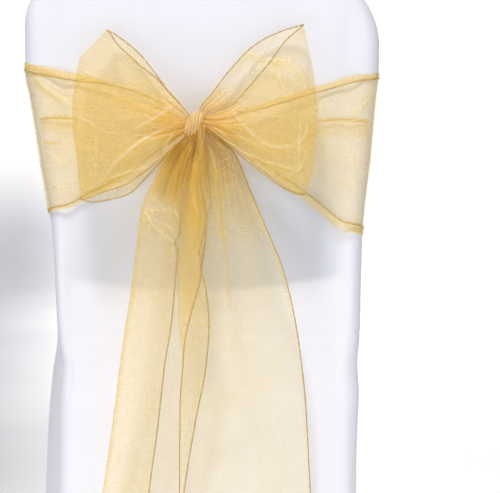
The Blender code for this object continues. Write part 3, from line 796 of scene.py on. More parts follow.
# Creases, lit or shaded fold lines and gathered places, each along a bowed line seen from behind.
# Lengths are in millimetres: "half" is a line's half width, "soft" how it fades and "ridge" its rise.
# "dense" is the cloth added to one layer, and "glint" is lit above 0 and shaded below.
markColumns = ("x1", "z1", "x2", "z2", "bow", "half", "soft", "ridge", "dense", "glint")
creases = {
    "leftLoop": (
        (-154, -174, -128, -185, 2.2, 0.4, 1.6, 1, 0.2, 0.8),
        (-128, -185, -107, -194, -0.7, 0.4, 1.6, 0.8, 0.2, 0.6),
        (-40, -182, -123, -245, -8.6, 0.5, 1.8, 1.4, 0.3, 0.9),
        (-69, -196, -91, -195, -1.8, 0.3, 1.4, 0.6, 0.1, 0.6),
        (-39, -158, -93, -190, 1.5, 0.4, 1.6, 1, 0.2, 0.8),
        (-24, -192, -53, -214, -0.3, 0.5, 1.6, 1, 0.3, 0.9),
        (-39, -190, -53, -213, -1.6, 0.4, 1.5, 0.8, 0.2, 0.6),
        (-45, -199, -102, -241, 0.6, 0.4, 1.6, 0.9, 0.2, 0.5),
        (-50, -163, -111, -174, 3.7, 0.5, 2, 0.8, 0.2, 0.3),
        (-148, -259, -120, -245, -0.8, 0.4, 1.5, 0.7, 0.1, 0.5),
        (-120, -245, -61, -228, 0.7, 0.4, 1.5, 0.8, 0.1, 0.5),
        (-144, -138, -144, -164, -0.3, 0.3, 1.2, 0.4, 0.2, 0.1),
        (-112, -131, -103, -138, 0.2, 0.4, 1, 0.3, 0.8, 0),
        (-147, -119, -110, -131, -1.6, 0.4, 1.8, 0.8, 0, 0.7),
        (-88, -148, -46, -160, 0, 6, 11, 0, 1.1, 0),
        (-142, -200, -143, -250, 0, 11.5, 1.6, 0, 1, -0.1),
        (-129.5, -186, -130.5, -248, 0.6, 0.4, 1.2, 0.6, 0.3, 0.5),
        (-100, -166, -118, -206, 0, 15, 16, 0, -0.6, 0.05),
        (-120, -100, -100, -112, 0, 10, 15, 0, -0.4, 0),
        (-41, -150, -25, -166, 0, 4, 7, 5, 0.6, 0.78),
        (-52, -196, -26, -190, 0, 2, 5, 0, 0.8, -0.3),
        (-50, -186, -100, -230, 0, 4, 6, 0, 0.6, -0.06),
    ),
    "rightLoop": (
        (27, -164, 57, -198, -1.8, 0.5, 1.8, 1.3, 0.2, 0.9),
        (57, -198, 98, -206, -5.2, 0.5, 1.8, 1.3, 0.2, 0.9),
        (98, -206, 115, -177, -6.3, 0.5, 1.8, 1.2, 0.2, 0.8),
        (44, -98, 95, -109, -1.9, 1, 2.4, 1.4, 0, 0.9),
        (95, -109, 113, -137, 3.7, 1, 2.2, 1.3, 0, 0.8),
        (79, -120, 87, -150, 0.6, 0.4, 1.5, 0.9, 0.1, 0.6),
        (51, -157, 106, -145, 1, 0.4, 1.6, 0.8, 0.1, 0.5),
        (-5, -179, 62, -222, -5.5, 0.5, 1.7, 1.1, 0.2, 0.9),
        (62, -222, 102, -234, -0.8, 0.4, 1.6, 0.9, 0.2, 0.8),
        (29, -190, 69, -211, -1.6, 0.4, 1.5, 0.8, 0.2, 0.6),
        (-9, -175, 36, -211, 2.2, 0.4, 1.5, 1, 0.2, 0.7),
        (107, -155, 106, -253, -0.6, 0.3, 1.2, 0.6, 0.2, 0.3),
        (32, -158, 62, -173, -2.6, 0.4, 1.6, 0.8, 0.1, 0.5),
        (62, -173, 108, -162, -3.5, 0.4, 1.6, 0.8, 0.1, 0.5),
        (88, -240, 112, -223, -5, 0.4, 1.6, 0.8, 0.1, 0.6),
        (62, -166, 94, -166, 0, 18, 13, 0, -0.6, 0.1),
        (-2, -165, 20, -170, 0, 5, 8, 3, 1.2, 0.38),
        (112, -178, 110, -246, 0, 8.5, 2, 0, 0.7, 0),
        (50, -205, 88, -228, 0, 4, 5, 0, 0.8, -0.1),
        (28, -150, 50, -128, 0, 1.6, 3, 0.8, 0.2, 0.9),
        (82, -86, 108, -104, 0, 11, 15, 0, -0.62, 0),
    ),
    "leftTail": (
        (-36, -218, -48, -252, 0, 8, 13, 0, 2, -0.9),
        (-22, -215, -34, -275, 0, 3, 6, 0, 0.9, -0.2),
        (-77, -279, -45, -278, -1.7, 0.4, 1.5, 0.9, 0.1, 0.9),
        (-45, -278, -33, -300, 4.2, 0.4, 1.4, 0.9, 0.1, 0.9),
        (-77, -279, -52, -310, -1.3, 0.5, 1.5, 1, 0.1, 0.9),
        (-52, -310, -38, -320, 1.6, 0.5, 1.4, 0.9, 0.1, 0.9),
        (-77, -279, -56, -293, -2.7, 0.3, 1.3, 0.6, 0.1, 0.5),
        (-56, -293, -40, -310, 2.9, 0.3, 1.3, 0.6, 0.1, 0.6),
        (-75, -357, -45, -362, 0, 0.3, 1.2, 0.2, 0, 0.39),
        (-38, -320, -37, -336, -4.1, 0.6, 1, 0.7, 0, 0.9),
        (-20, -203, -20, -232, 0, 0.4, 1.3, 0.9, 0.2, 0.9),
        (-24, -203, -33, -222, -0.8, 0.4, 1.3, 0.8, 0.2, 0.6),
        (-43, -211, -76, -274, 0.2, 1.2, 2.5, 0.6, 0.5, 0.3),
        (-27, -211, -45, -274, -0.9, 0.8, 2.5, 0.9, 0.7, 0.1),
    ),
    "rightTail": (
        (-4, -212, 4, -262, 0, 2, 4, 0, 1.2, -0.25),
        (-14, -215, -16, -290, 0, 5, 12, 0, 0.7, -0.16),
        (-16, -300, -14, -390, 0, 4, 12, 0, 0.4, -0.07),
        (34, -235, 52, -285, 0, 6, 30, 0, 1, -0.14),
        (-14, -199, -15, -220, 0, 2.6, 2, 0, 2, -0.85),
        (2, -203, 17, -253, -2, 0.4, 1.6, 1, 0.2, 0.5),
        (10, -199, 30, -213, -2.3, 0.4, 1.3, 0.8, 0.1, 0.8),
        (16, -236, 29, -226, 1.5, 0.3, 1, 0.6, 0, 0.9),
        (15, -241, 27, -233, -0.8, 0.3, 1, 0.6, 0, 0.8),
        (13, -227, 27, -220, 1.1, 0.3, 1, 0.6, 0, 0.7),
        (12, -238, 17, -309, 0.6, 3, 3, 0, 1.5, -0.22),
        (17, -309, 25, -395, 1.1, 0.9, 1.6, 0, 1.2, -0.3),
        (35, -220, 91, -362, 2.4, 1.6, 3, 0.5, 0.7, 0),
        (-18, -259, -10, -293, -0.7, 0.4, 1.4, 0.7, 0.1, 0.6),
        (-29, -416, 1, -418, 0.5, 0.3, 1.1, 0.2, 0, 0.39),
        (64, -411, 100, -408, 0.6, 0.3, 1, 0.3, 0, 0.4),
        (17, -426, 38, -449, -0.5, 4, 9, 0.4, 0, 0.22),
        (38, -478, 58, -488, -1.3, 4, 9, 0.4, 0, 0.22),
        (0, -514, 28, -506, 0.6, 4, 9, 0.4, 0, 0.22),
        (-14, -237, -14, -328, 3.6, 3, 4, 0.8, 0.5, 0),
    ),
    "band": (
        (-206, -117, -148, -134, -0.1, 0.3, 1.2, 0.8, 0.6, 0),
        (-206, -120, -158, -155, -4.1, 0.5, 1.8, 1.2, 0, 0.9),
        (-203, -178, -150, -176, 3.5, 0.4, 1, 0.6, 2, -1),
        (-199, -186, -158, -183, 3.5, 3, 5, 0, 0.6, -0.12),
        (-198, -199, -172, -203, -2.3, 0.4, 1, 0.4, 1.6, -0.8),
        (126, -178, 200, -179, 3, 0.4, 1, 0.6, 2.2, -1),
        (130, -187, 192, -187, 2.4, 5, 6, 0, 0.8, -0.16),
        (199, -129, 164, -166, 10.5, 0.4, 1.8, 0.9, 0.1, 0.5),
        (134, -211, 185, -221, -7.2, 0.4, 3, 1, 0.1, 0.15),
        (149, -242, 187, -245, -3.9, 0.4, 3, 1, 0, 0.15),
        (-194, -207, -158, -224, -4.2, 0.4, 3, 0.9, 0, 0.22),
        (-191, -246, -156, -251, -5.2, 0.4, 3, 0.9, 0.1, 0.15),
    ),
    "behindLeft": (
        (-80, -105, -30, -150, 0, 6, 6, 0, 0.4, 0),
    ),
    "behindRight": (
        (-3, -160, 12, -150, 0, 5, 7, 0, 1.3, 0.1),
        (70, -86, 108, -104, 0, 13, 15, 0, -0.5, 0),
        (44, -98, 95, -109, -1.9, 1, 2.4, 1.2, 0, 0.8),
        (30, -120, 50, -98, 1, 1, 3, 0.8, 0.2, 0.5),
    ),
}


# The shade strip that lies below each strongly lit crease.
creaseShade = {"fineHalf": 0.001, "from": 0.4, "below": 0.0042, "width": 0.0030, "dense": 1.1, "dark": 0.28}


def marked(points, rows):
    # How far each point rises, how much cloth is added there and how its creases catch light.
    x, z = points[..., 0], points[..., 2]
    rise, dense, glint = np.zeros((3, *x.shape))
    for row in rows:
        mark = dict(zip(markColumns, [*(length / 1000 for length in row[:-2]), *row[-2:]]))
        way = np.array((mark["x2"] - mark["x1"], mark["z2"] - mark["z1"]))
        length = np.linalg.norm(way)
        way = way / length
        fromX, fromZ = x - mark["x1"], z - mark["z1"]
        reach = fromX * way[0] + fromZ * way[1]
        share = np.clip(reach / length, 0, 1)
        beside = fromZ * way[0] - fromX * way[1] - 4 * mark["bow"] * share * (1 - share)
        away = np.hypot(beside, reach - share * length)
        near = np.exp(-((np.maximum(away - mark["half"], 0) / mark["soft"]) ** 2))
        if mark["half"] < creaseShade["fineHalf"]:
            near = near * (0.3 + 0.7 * smoothStep(np.minimum(share, 1 - share) * 5))
        rise += mark["ridge"] * near
        dense += mark["dense"] * near
        glint += mark["glint"] * near
        if mark["glint"] > creaseShade["from"]:
            below = (-beside * np.sign(way[0]) - creaseShade["below"]) / creaseShade["width"]
            under = mark["glint"] * np.exp(-(below**2)) * smoothStep(np.minimum(share, 1 - share) * 4)
            dense += creaseShade["dense"] * under
            glint -= creaseShade["dark"] * under
    return rise, dense, glint


def gatheredCloth(points, start, end):
    # Cloth added by the gathers, which are tightest at the knot.
    away = np.hypot(points[..., 0] - bowMiddle[0], points[..., 2] - bowMiddle[1])
    return 1 - smoothStep((away - start) / (end - start))


# Angles are in degrees round the bow's middle, and the outline is how far the loop reaches from it.
loopColumns = ("share", "top", "low", "out", "belly", "fold")
loopCloth = {"gathers": (0.006, 0.058), "gathersBy": 1.1, "lit": (0.018, 0.080), "litBy": 0.22, "crushed": 1.0}
leftLoop = {
    "rows": (
        (0.05, 150, 226, 0.0200, 0.000, 0.0010),
        (0.13, 140, 226, 0.0195, 0.000, 0.0026),
        (0.24, 135, 226, 0.0190, 0.000, 0.0036),
        (0.42, 130, 227, 0.0190, 0.000, 0.0036),
        (0.64, 129, 227, 0.0185, 0.000, 0.0026),
        (0.84, 131, 221, 0.0205, 0.000, 0.0012),
        (0.96, 133, 216, 0.0250, 0.000, 0.0004),
        (1.00, 134, 213, 0.0310, 0.000, 0.0000),
        (0.965, 134, 214.0, 0.0370, 0.001, 0.0004),
        (0.84, 135.5, 216, 0.0420, 0.005, 0.0012),
        (0.64, 135, 221, 0.0440, 0.008, 0.0026),
        (0.42, 132, 223, 0.0420, 0.009, 0.0036),
        (0.24, 132, 225, 0.0380, 0.009, 0.0036),
        (0.13, 133, 228, 0.0340, 0.006, 0.0026),
        (0.05, 142, 232, 0.0300, 0.000, 0.0010),
    ),
    "outline": (
        (0.00, 0.1487), (0.10, 0.1498), (0.164, 0.1520), (0.209, 0.1540), (0.264, 0.1517), (0.357, 0.1474),
        (0.46, 0.1454), (0.60, 0.1435), (0.70, 0.1438), (0.791, 0.1452), (0.894, 0.1515), (1.00, 0.1610),
    ),
    "along": 260,
    "across": 176,
    "pleats": 9,
    "drift": 0.030,
    "gather": (0.16, 0.60),
    "skew": 1.7,
    "seed": 1.3,
    "creases": ("leftLoop", "behindLeft"),
}
rightLoop = {
    "rows": (
        (0.05, 78, -36, 0.0200, 0.000, 0.0010),
        (0.13, 72, -35, 0.0195, 0.000, 0.0026),
        (0.24, 62, -34, 0.0190, 0.000, 0.0036),
        (0.42, 58, -36, 0.0190, 0.000, 0.0036),
        (0.64, 54, -37, 0.0185, 0.000, 0.0026),
        (0.84, 48, -36.5, 0.0205, 0.000, 0.0012),
        (0.96, 44, -35, 0.0250, 0.000, 0.0004),
        (1.00, 42.6, -33.5, 0.0310, 0.000, 0.0000),
        (0.965, 42.6, -34, 0.0370, 0.001, 0.0004),
        (0.84, 43, -36, 0.0420, 0.005, 0.0012),
        (0.64, 40, -36, 0.0440, 0.008, 0.0026),
        (0.42, 35, -34, 0.0420, 0.009, 0.0036),
        (0.24, 27, -32, 0.0380, 0.008, 0.0036),
        (0.13, 30, -26, 0.0340, 0.005, 0.0026),
        (0.05, 50, -20, 0.0300, 0.000, 0.0010),
    ),
    "outline": (
        (0.00, 0.1690), (0.10, 0.1585), (0.18, 0.1523), (0.248, 0.1483), (0.33, 0.1448), (0.41, 0.1434),
        (0.50, 0.1417), (0.588, 0.1407), (0.675, 0.1417), (0.76, 0.1446), (0.857, 0.1474), (1.00, 0.1510),
    ),
    "along": 260,
    "across": 176,
    "pleats": 9,
    "drift": 0.026,
    "gather": (0.16, 0.60),
    "skew": 1.7,
    "seed": 4.1,
    "creases": ("rightLoop", "behindRight"),
}


def loopGrid(shape):
    table = smoothTable(shape["rows"], loopColumns, shape["along"])
    column = {name: values[:, None] for name, values in table.items()}
    v = np.linspace(0, 1, shape["across"])[None, :]
    u = np.linspace(0, 1, shape["along"])[:, None]
    places, reaches = np.array(shape["outline"]).T
    chord = column["share"] * reaches.mean() * np.radians(np.abs(column["top"] - column["low"]))
    start, end = shape["gather"]
    gathered = 1 - smoothStep((column["share"] - start) / (end - start))
    slack = np.sqrt(np.maximum(ribbonWidth**2 - chord**2, 0.0)) / (4 * shape["pleats"])
    phase, strength = pleats(v, u, shape)
    skewed = gathered * shape["skew"] / (math.tau * shape["pleats"]) * np.sin(phase) * pinned(v)
    w = v + skewed
    angle = np.radians(column["top"] * (1 - w) + column["low"] * w)
    distance = column["share"] * along(places, reaches, w)
    out = column["out"] + column["belly"] * np.sin(math.pi * v)
    out = out + column["fold"] * 0.7 * np.cos(math.tau * 4 * (v + 0.06 * np.sin(math.tau * v)))
    out = out + 0.78 * gathered * slack * strength * np.cos(phase)
    x = bowMiddle[0] + distance * np.cos(angle)
    z = bowMiddle[1] + distance * np.sin(angle)
    y = profile("rear", bowMiddle[1] + coverHeight) - out
    points = np.stack([x, y, z], -1)
    layers = 1 + loopCloth["gathersBy"] * gatheredCloth(points, *loopCloth["gathers"])
    glint = loopCloth["litBy"] * gatheredCloth(points, *loopCloth["lit"])
    for title, near in zip(shape["creases"], (smoothStep((u - 0.52) * 40), smoothStep((0.48 - u) * 40))):
        rise, dense, lit = marked(points, creases[title])
        y = y - rise * near
        layers = layers + dense * near
        glint = glint + lit * near
    return np.stack([x, y, z], -1), np.maximum(layers, thinnest), glint, loopCloth["crushed"]


bandShape = {
    "columns": ("turn", "top", "low", "out", "fold", "topTurned", "lowTurned"),
    "rows": (
        (0.020, 0.742, 0.728, 0.0108, 0.0008, 0.000, 0.000),
        (0.070, 0.755, 0.712, 0.0098, 0.0015, 0.002, 0.002),
        (0.140, 0.769, 0.692, 0.0080, 0.0015, 0.001, 0.004),
        (0.240, 0.783, 0.665, 0.0056, 0.0012, 0.003, 0.006),
        (0.340, 0.794, 0.647, 0.0028, 0.0004, 0.009, 0.006),
        (0.420, 0.802, 0.634, 0.0014, 0.0000, 0.011, 0.005),
        (0.500, 0.808, 0.627, 0.0022, 0.0000, 0.009, 0.004),
        (0.580, 0.806, 0.622, 0.0014, 0.0000, 0.006, 0.004),
        (0.780, 0.800, 0.613, 0.0014, 0.0000, 0.003, 0.002),
        (1.000, 0.796, 0.606, 0.0014, 0.0000, 0.002, 0.002),
        (1.220, 0.792, 0.602, 0.0014, 0.0000, 0.003, 0.002),
        (1.420, 0.795, 0.599, 0.0014, 0.0000, 0.005, 0.004),
        (1.500, 0.797, 0.599, 0.0022, 0.0000, 0.007, 0.008),
        (1.580, 0.794, 0.604, 0.0014, 0.0000, 0.008, 0.012),
        (1.660, 0.784, 0.628, 0.0028, 0.0004, 0.008, 0.012),
        (1.760, 0.769, 0.663, 0.0056, 0.0012, 0.007, 0.008),
        (1.860, 0.753, 0.695, 0.0080, 0.0015, 0.004, 0.004),
        (1.930, 0.747, 0.716, 0.0098, 0.0015, 0.002, 0.002),
        (1.980, 0.742, 0.728, 0.0108, 0.0008, 0.000, 0.000),
    ),
    "breaks": (0.42, 0.48, 0.52, 0.58),
    "across": 96,
    "pleats": 11,
    "drift": 0.03,
    "gather": (0.05, 0.34),
    "skew": 1.2,
    "seed": 2.2,
    "cover": (1.35, 0.30),  # layers on the left, and how many fewer on the right
    "gathers": (0.006, 0.060),
    "gathersBy": 1.2,
    "crushed": 0.25,
}


def bandSection(turn, heights, out):
    # Points beside the chair's back, out from its face, at a share of the way round it.
    behind = turn if turn <= 1 else 2 - turn
    side = -1 if turn <= 1 else 1
    first, second, third, fourth = bandShape["breaks"]
    rear = profile("rear", heights)
    front = slabFront(heights)
    half = profile("left" if side < 0 else "right", heights)
    radius = coverShape["rearRound"]
    if behind <= first:
        start = knotShape["x"] * side
        x, y = start + (half - radius - start) * behind / first, rear
        facing = (0.0, -1.0)
    elif behind <= second:
        turned = math.pi / 2 * (behind - first) / (second - first)
        facing = (math.sin(turned), -math.cos(turned))
        x, y = half - radius + radius * facing[0], rear + radius + radius * facing[1]
    elif behind <= third:
        share = (behind - second) / (third - second)
        facing = (1.0, 0.0)
        x, y = half, rear + radius + (front - rear - 2 * radius) * share
    elif behind <= fourth:
        turned = math.pi / 2 * (behind - third) / (fourth - third)
        facing = (math.cos(turned), math.sin(turned))
        x, y = half - radius + radius * facing[0], front - radius + radius * facing[1]
    else:
        share = (behind - fourth) / (1 - fourth)
        facing = (0.0, 1.0)
        x, y = (half - radius) * (1 - share), front
    if facing[1] < -0.5:
        pad = smoothStep((coverShape["padHalf"] - np.abs(x)) / coverShape["padFade"] + 1.4)
        out = out + coverShape["padRise"] * pad
    return np.stack([side * (x + facing[0] * out), y + facing[1] * out, heights - coverHeight], -1)


def bandGrid():
    shape = bandShape
    table = columnsOf(shape["rows"], shape["columns"])
    start, corner, end = table["turn"][0], *shape["breaks"][::3]
    turns = np.concatenate([
        np.linspace(start, corner, 120)[:-1],
        np.linspace(corner, end, 60)[:-1],
        np.linspace(end, 1.0, 60),
    ])
    turns = np.concatenate([turns, (2 - turns)[-2::-1]])
    v = np.linspace(0, 1, shape["across"])
    rows = []
    for turn in turns:
        at = {name: float(along(table["turn"], table[name], turn)) for name in shape["columns"]}
        behind = min(turn, 2 - turn)
        height = at["top"] - at["low"]
        start, end = shape["gather"]
        gathered = 1 - smoothStep((behind - start) / (end - start))
        slack = math.sqrt(max(ribbonWidth**2 - height**2, 0.0)) / (4 * shape["pleats"])
        phase, strength = pleats(v, turn, shape)
        w = v + gathered * shape["skew"] / (math.tau * shape["pleats"]) * np.sin(phase) * pinned(v)
        topTurned, lowTurned = at["topTurned"], at["lowTurned"]
        down = w * (height + topTurned + lowTurned) - topTurned
        inside = (down < 0) | (down > height)
        down = np.where(down < 0, -down, down)
        down = np.where(down > height, 2 * height - down, down)
        out = at["out"] + at["fold"] * (1 + np.cos(math.tau * 3 * (v + 0.06 * np.sin(math.tau * v))))
        out = out + 0.8 * gathered * slack * strength * np.cos(phase)
        out = out - 0.0008 * inside
        rows.append(bandSection(turn, at["top"] - down, out))
    points = np.array(rows)
    rise, dense, glint = marked(points, creases["band"])
    behind = points[..., 1] < profile("rear", points[..., 2] + coverHeight) + 0.004
    points[..., 1] -= rise * behind
    most, fewer = shape["cover"]
    layers = most - fewer * smoothStep(points[..., 0] / 0.3 + 0.5)
    layers = layers + shape["gathersBy"] * gatheredCloth(points, *shape["gathers"]) * behind + dense * behind
    return points, np.maximum(layers, thinnest), glint * behind, shape["crushed"]


leftTail = {
    "columns": ("height", "free", "fold", "behind", "y", "gap", "pleat"),
    "rows": (
        (0.740, -0.014, -0.021, -0.009, -0.0400, 0.0030, 0.0004),
        (0.722, -0.013, -0.027, -0.006, -0.0410, 0.0035, 0.0010),
        (0.697, -0.020, -0.0496, -0.001, -0.0420, 0.0045, 0.0024),
        (0.668, -0.0285, -0.0643, 0.000, -0.0450, 0.0060, 0.0030),
        (0.640, -0.0325, -0.0765, 0.003, -0.0465, 0.0065, 0.0026),
        (0.629, -0.0334, -0.0792, 0.000, -0.0470, 0.0068, 0.0024),
        (0.607, -0.0335, -0.0818, -0.006, -0.0480, 0.0070, 0.0022),
        (0.597, -0.0400, -0.0830, -0.0085, -0.0485, 0.0072, 0.0020),
        (0.587, -0.0358, -0.0845, -0.0100, -0.0490, 0.0073, 0.0018),
        (0.566, -0.0380, -0.0873, -0.0085, -0.0495, 0.0075, 0.0016),
        (0.541, -0.0400, -0.0905, -0.0030, -0.0500, 0.0075, 0.0013),
        (0.499, -0.0443, -0.0975, 0.0005, -0.0510, 0.0075, 0.0010),
        (0.457, -0.0514, -0.1035, -0.0025, -0.0510, 0.0070, 0.0006),
        (0.384, -0.0598, -0.1130, -0.0160, -0.0500, 0.0065, 0.0006),
        (0.304, -0.0707, -0.1249, -0.0290, -0.0490, 0.0060, 0.0008),
        (0.232, -0.0790, -0.1340, -0.0380, -0.0480, 0.0060, 0.0010),
    ),
    "along": 320,
    "front": 60,
    "turn": 10,
    "behind": 90,
    "pleats": 12,
    "drift": 0.03,
    "skew": 1.1,
    "seed": 0.4,
    "cover": (0.62, 0.28, 2.2),
    "crushed": 0.6,
    "edgeCover": 1.5,
}
rightTail = {
    "columns": ("height", "left", "right", "y", "pleat", "turned"),
    "rows": (
        (0.740, -0.018, 0.002, -0.0320, 0.0004, 0.002),
        (0.722, -0.020, 0.009, -0.0310, 0.0016, 0.004),
        (0.700, -0.021, 0.032, -0.0320, 0.0036, 0.010),
        (0.665, -0.028, 0.047, -0.0340, 0.0042, 0.020),
        (0.620, -0.034, 0.066, -0.0350, 0.0034, 0.033),
        (0.560, -0.036, 0.090, -0.0360, 0.0022, 0.028),
        (0.500, -0.035, 0.104, -0.0365, 0.0012, 0.012),
        (0.460, -0.030, 0.110, -0.0370, 0.0008, 0.001),
        (0.405, -0.033, 0.116, -0.0370, 0.0006, 0.000),
        (0.300, -0.034, 0.122, -0.0370, 0.0008, 0.000),
        (0.225, -0.033, 0.127, -0.0365, 0.0010, 0.000),
    ),
    "along": 320,
    "across": 160,
    "pleats": 12,
    "drift": 0.03,
    "skew": 1.1,
    "seed": 5.2,
    "cover": (0.65, 0.27, 2.0),
    "crushed": 0.5,
    "edgeCover": 0.6,
}


def heightTable(shape):
    # The rows of a tail at even heights from the knot down.
    table = columnsOf(shape["rows"][::-1], shape["columns"])
    heights = np.linspace(table["height"][-1], table["height"][0], shape["along"])
    return {name: along(table["height"], values, heights) for name, values in table.items()}


def tailPleats(v, u, height, width, shape):
    # Sideways and outward moves of a tail's pleats, which open out below the knot.
    phase, strength = pleats(v, u, shape)
    slack = np.sqrt(np.maximum(ribbonWidth**2 - width**2, 0.0)) / (4 * shape["pleats"])
    gathered = smoothStep((height - 0.560) / 0.150)
    sideways = gathered * shape["skew"] / (math.tau * shape["pleats"]) * np.sin(phase) * pinned(v)
    return sideways, 0.85 * gathered * slack * strength * np.cos(phase)


def tailCloth(points, shape):
    # A tail's layers, fewer towards its end and more in its gathers, and how crushed it is.
    thin, upper, gathers = shape["cover"]
    gathered = gatheredCloth(points, 0.010, 0.105)
    layers = thin + upper * smoothStep((points[..., 2] + 0.56) / 0.22) + gathers * gathered
    return layers, 0.10 + shape["crushed"] * gathered


def leftTailGrid():
    shape = leftTail
    table = heightTable(shape)
    rows = []
    for k in range(shape["along"]):
        at = {name: float(values[k]) for name, values in table.items()}
        radius = at["gap"] / 2
        edge = at["fold"] + radius
        front = np.linspace(0, 1, shape["front"] + 1)[:-1]
        turned = np.pi * np.linspace(0, 1, shape["turn"] + 1)
        back = np.linspace(0, 1, shape["behind"] + 1)[1:]
        width = (at["free"] - edge) + (at["behind"] - edge)
        frontV = front * (at["free"] - edge) / width
        backV = (at["free"] - edge + back * (at["behind"] - edge)) / width
        v = np.concatenate([frontV, np.full(len(turned), (at["free"] - edge) / width), backV])
        sideways, out = tailPleats(v, k / shape["along"], at["height"], width, shape)
        x = np.concatenate([
            at["free"] + (edge - at["free"]) * front,
            edge - radius * np.sin(turned),
            edge + (at["behind"] - edge) * back,
        ])
        y = np.concatenate([np.full(len(front), -2 * radius), -radius - radius * np.cos(turned), 0 * back])
        layer = np.concatenate([-np.ones(len(front)), 0 * turned, np.ones(len(back))])
        x = x + sideways * width * layer * smoothStep((x - edge) / 0.012)
        sway = at["pleat"] * np.cos(math.tau * 3 * (x - at["fold"]) / (at["behind"] - at["fold"]))
        y = at["y"] + y + sway - 0.5 * out * np.abs(layer)
        rows.append(np.stack([x, y, np.full_like(x, at["height"] - coverHeight)], -1))
    points = np.array(rows)
    rise, dense, glint = marked(points, creases["leftTail"])
    front = np.arange(points.shape[1])[None, :] < shape["front"]
    edge = 1 - smoothStep(np.abs(np.arange(points.shape[1]) - shape["front"] - shape["turn"] / 2) / 9)
    points[..., 1] -= rise * front
    layers, crushed = tailCloth(points, shape)
    layers = layers + dense * front + shape["edgeCover"] * edge
    return points, np.maximum(layers, thinnest), glint * front, crushed


def rightTailGrid():
    shape = rightTail
    table = heightTable(shape)
    v = np.linspace(0, 1, shape["across"])
    rows = []
    for k in range(shape["along"]):
        at = {name: float(values[k]) for name, values in table.items()}
        width = at["right"] - at["left"]
        sideways, out = tailPleats(v, k / shape["along"], at["height"], width, shape)
        whole = width + at["turned"]
        over = (v + sideways) * whole - at["turned"]
        x = at["left"] + np.abs(over)
        y = at["y"] + at["pleat"] * np.cos(math.tau * 3 * (x - at["left"]) / width) - out
        y = y - 0.0012 * (over < 0) * smoothStep(-over / 0.004)
        rows.append(np.stack([x, y, np.full_like(x, at["height"] - coverHeight)], -1))
    points = np.array(rows)
    rise, dense, glint = marked(points, creases["rightTail"])
    points[..., 1] -= rise
    layers, crushed = tailCloth(points, shape)
    layers = layers + dense + shape["edgeCover"] * smoothStep((v - 0.965) / 0.01)
    return points, np.maximum(layers, thinnest), glint, crushed


def knotObject(finish):
    # The wrap round the bow's middle, ridged by its gathers, as a closed barrel.
    shape = knotShape
    turned = np.linspace(0, math.tau, 97)[:, None]
    across = np.linspace(-1, 1, 65)[None, :]
    bulge = np.sqrt(np.clip(1 - np.abs(across) ** 2.4, 0, 1))
    gathers = np.cos(shape["ridges"] * across * math.pi + 2.2 * np.sin(turned + 0.6))
    ridge = 1 + shape["ridgeRise"] * gathers * bulge
    half, depth, tall = shape["radii"]
    rear = profile("rear", shape["z"] + coverHeight) - shape["out"] - 0.004
    x = shape["x"] + half * across + shape["sway"] * np.sin(turned)
    y = rear - depth * bulge * ridge * np.cos(turned)
    z = shape["z"] + tall * bulge * ridge * np.sin(turned) + 0.0015 * across
    points = np.stack(np.broadcast_arrays(x, y, z), -1)
    lit = 0.75 * smoothStep(ridge * 9 - 9.05) - 0.30 * smoothStep(9.0 - ridge * 9.6)
    marks = {"layers": shape["layers"], "glint": lit + shape["glint"], "crushed": shape["crushed"]}
    return gridObject("knot_wrap", points, flatPlaces(points, 0.05), finish, **marks)


# The little folded end that hangs from under the wrap.
flapShape = {
    "columns": ("height", "left", "right", "y"),
    "rows": (
        (0.7341, -0.0113, -0.0032, -0.0560),
        (0.7238, -0.0119, -0.0049, -0.0600),
        (0.7134, -0.0136, -0.0061, -0.0600),
        (0.7019, -0.0159, -0.0079, -0.0600),
        (0.6927, -0.0183, -0.0108, -0.0600),
        (0.6835, -0.0195, -0.0166, -0.0600),
    ),
    "along": 60,
    "across": 20,
    "width": 0.012,
    "layers": 2.0,
    "crushed": 0.3,
    # Where its two edges catch the light, and how strongly.
    "edges": ((0.06, 0.8), (0.92, 0.7)),
    "edgeWidth": 0.06,
}


def flapObject(finish):
    shape = flapShape
    table = heightTable(shape)
    column = {name: values[:, None] for name, values in table.items()}
    v = np.linspace(0, 1, shape["across"])[None, :]
    x = column["left"] + (column["right"] - column["left"]) * v
    y = column["y"] - 0.0022 * np.cos(math.tau * 1.5 * v + 0.8) - 0.002 * v
    points = np.stack(np.broadcast_arrays(x, y, column["height"] - coverHeight), -1)
    lit = sum(strength * np.exp(-((v - at) / shape["edgeWidth"]) ** 2) for at, strength in shape["edges"])
    marks = {"layers": shape["layers"], "glint": lit, "crushed": shape["crushed"]}
    return gridObject("knot_flap", points, flatPlaces(points, shape["width"]), finish, **marks)


# Rolled hems follow the ribbon's edges.
hemSize = {"Radius": 0.0011, "Spacing": 0.0016, "Turns per metre": 260.0}


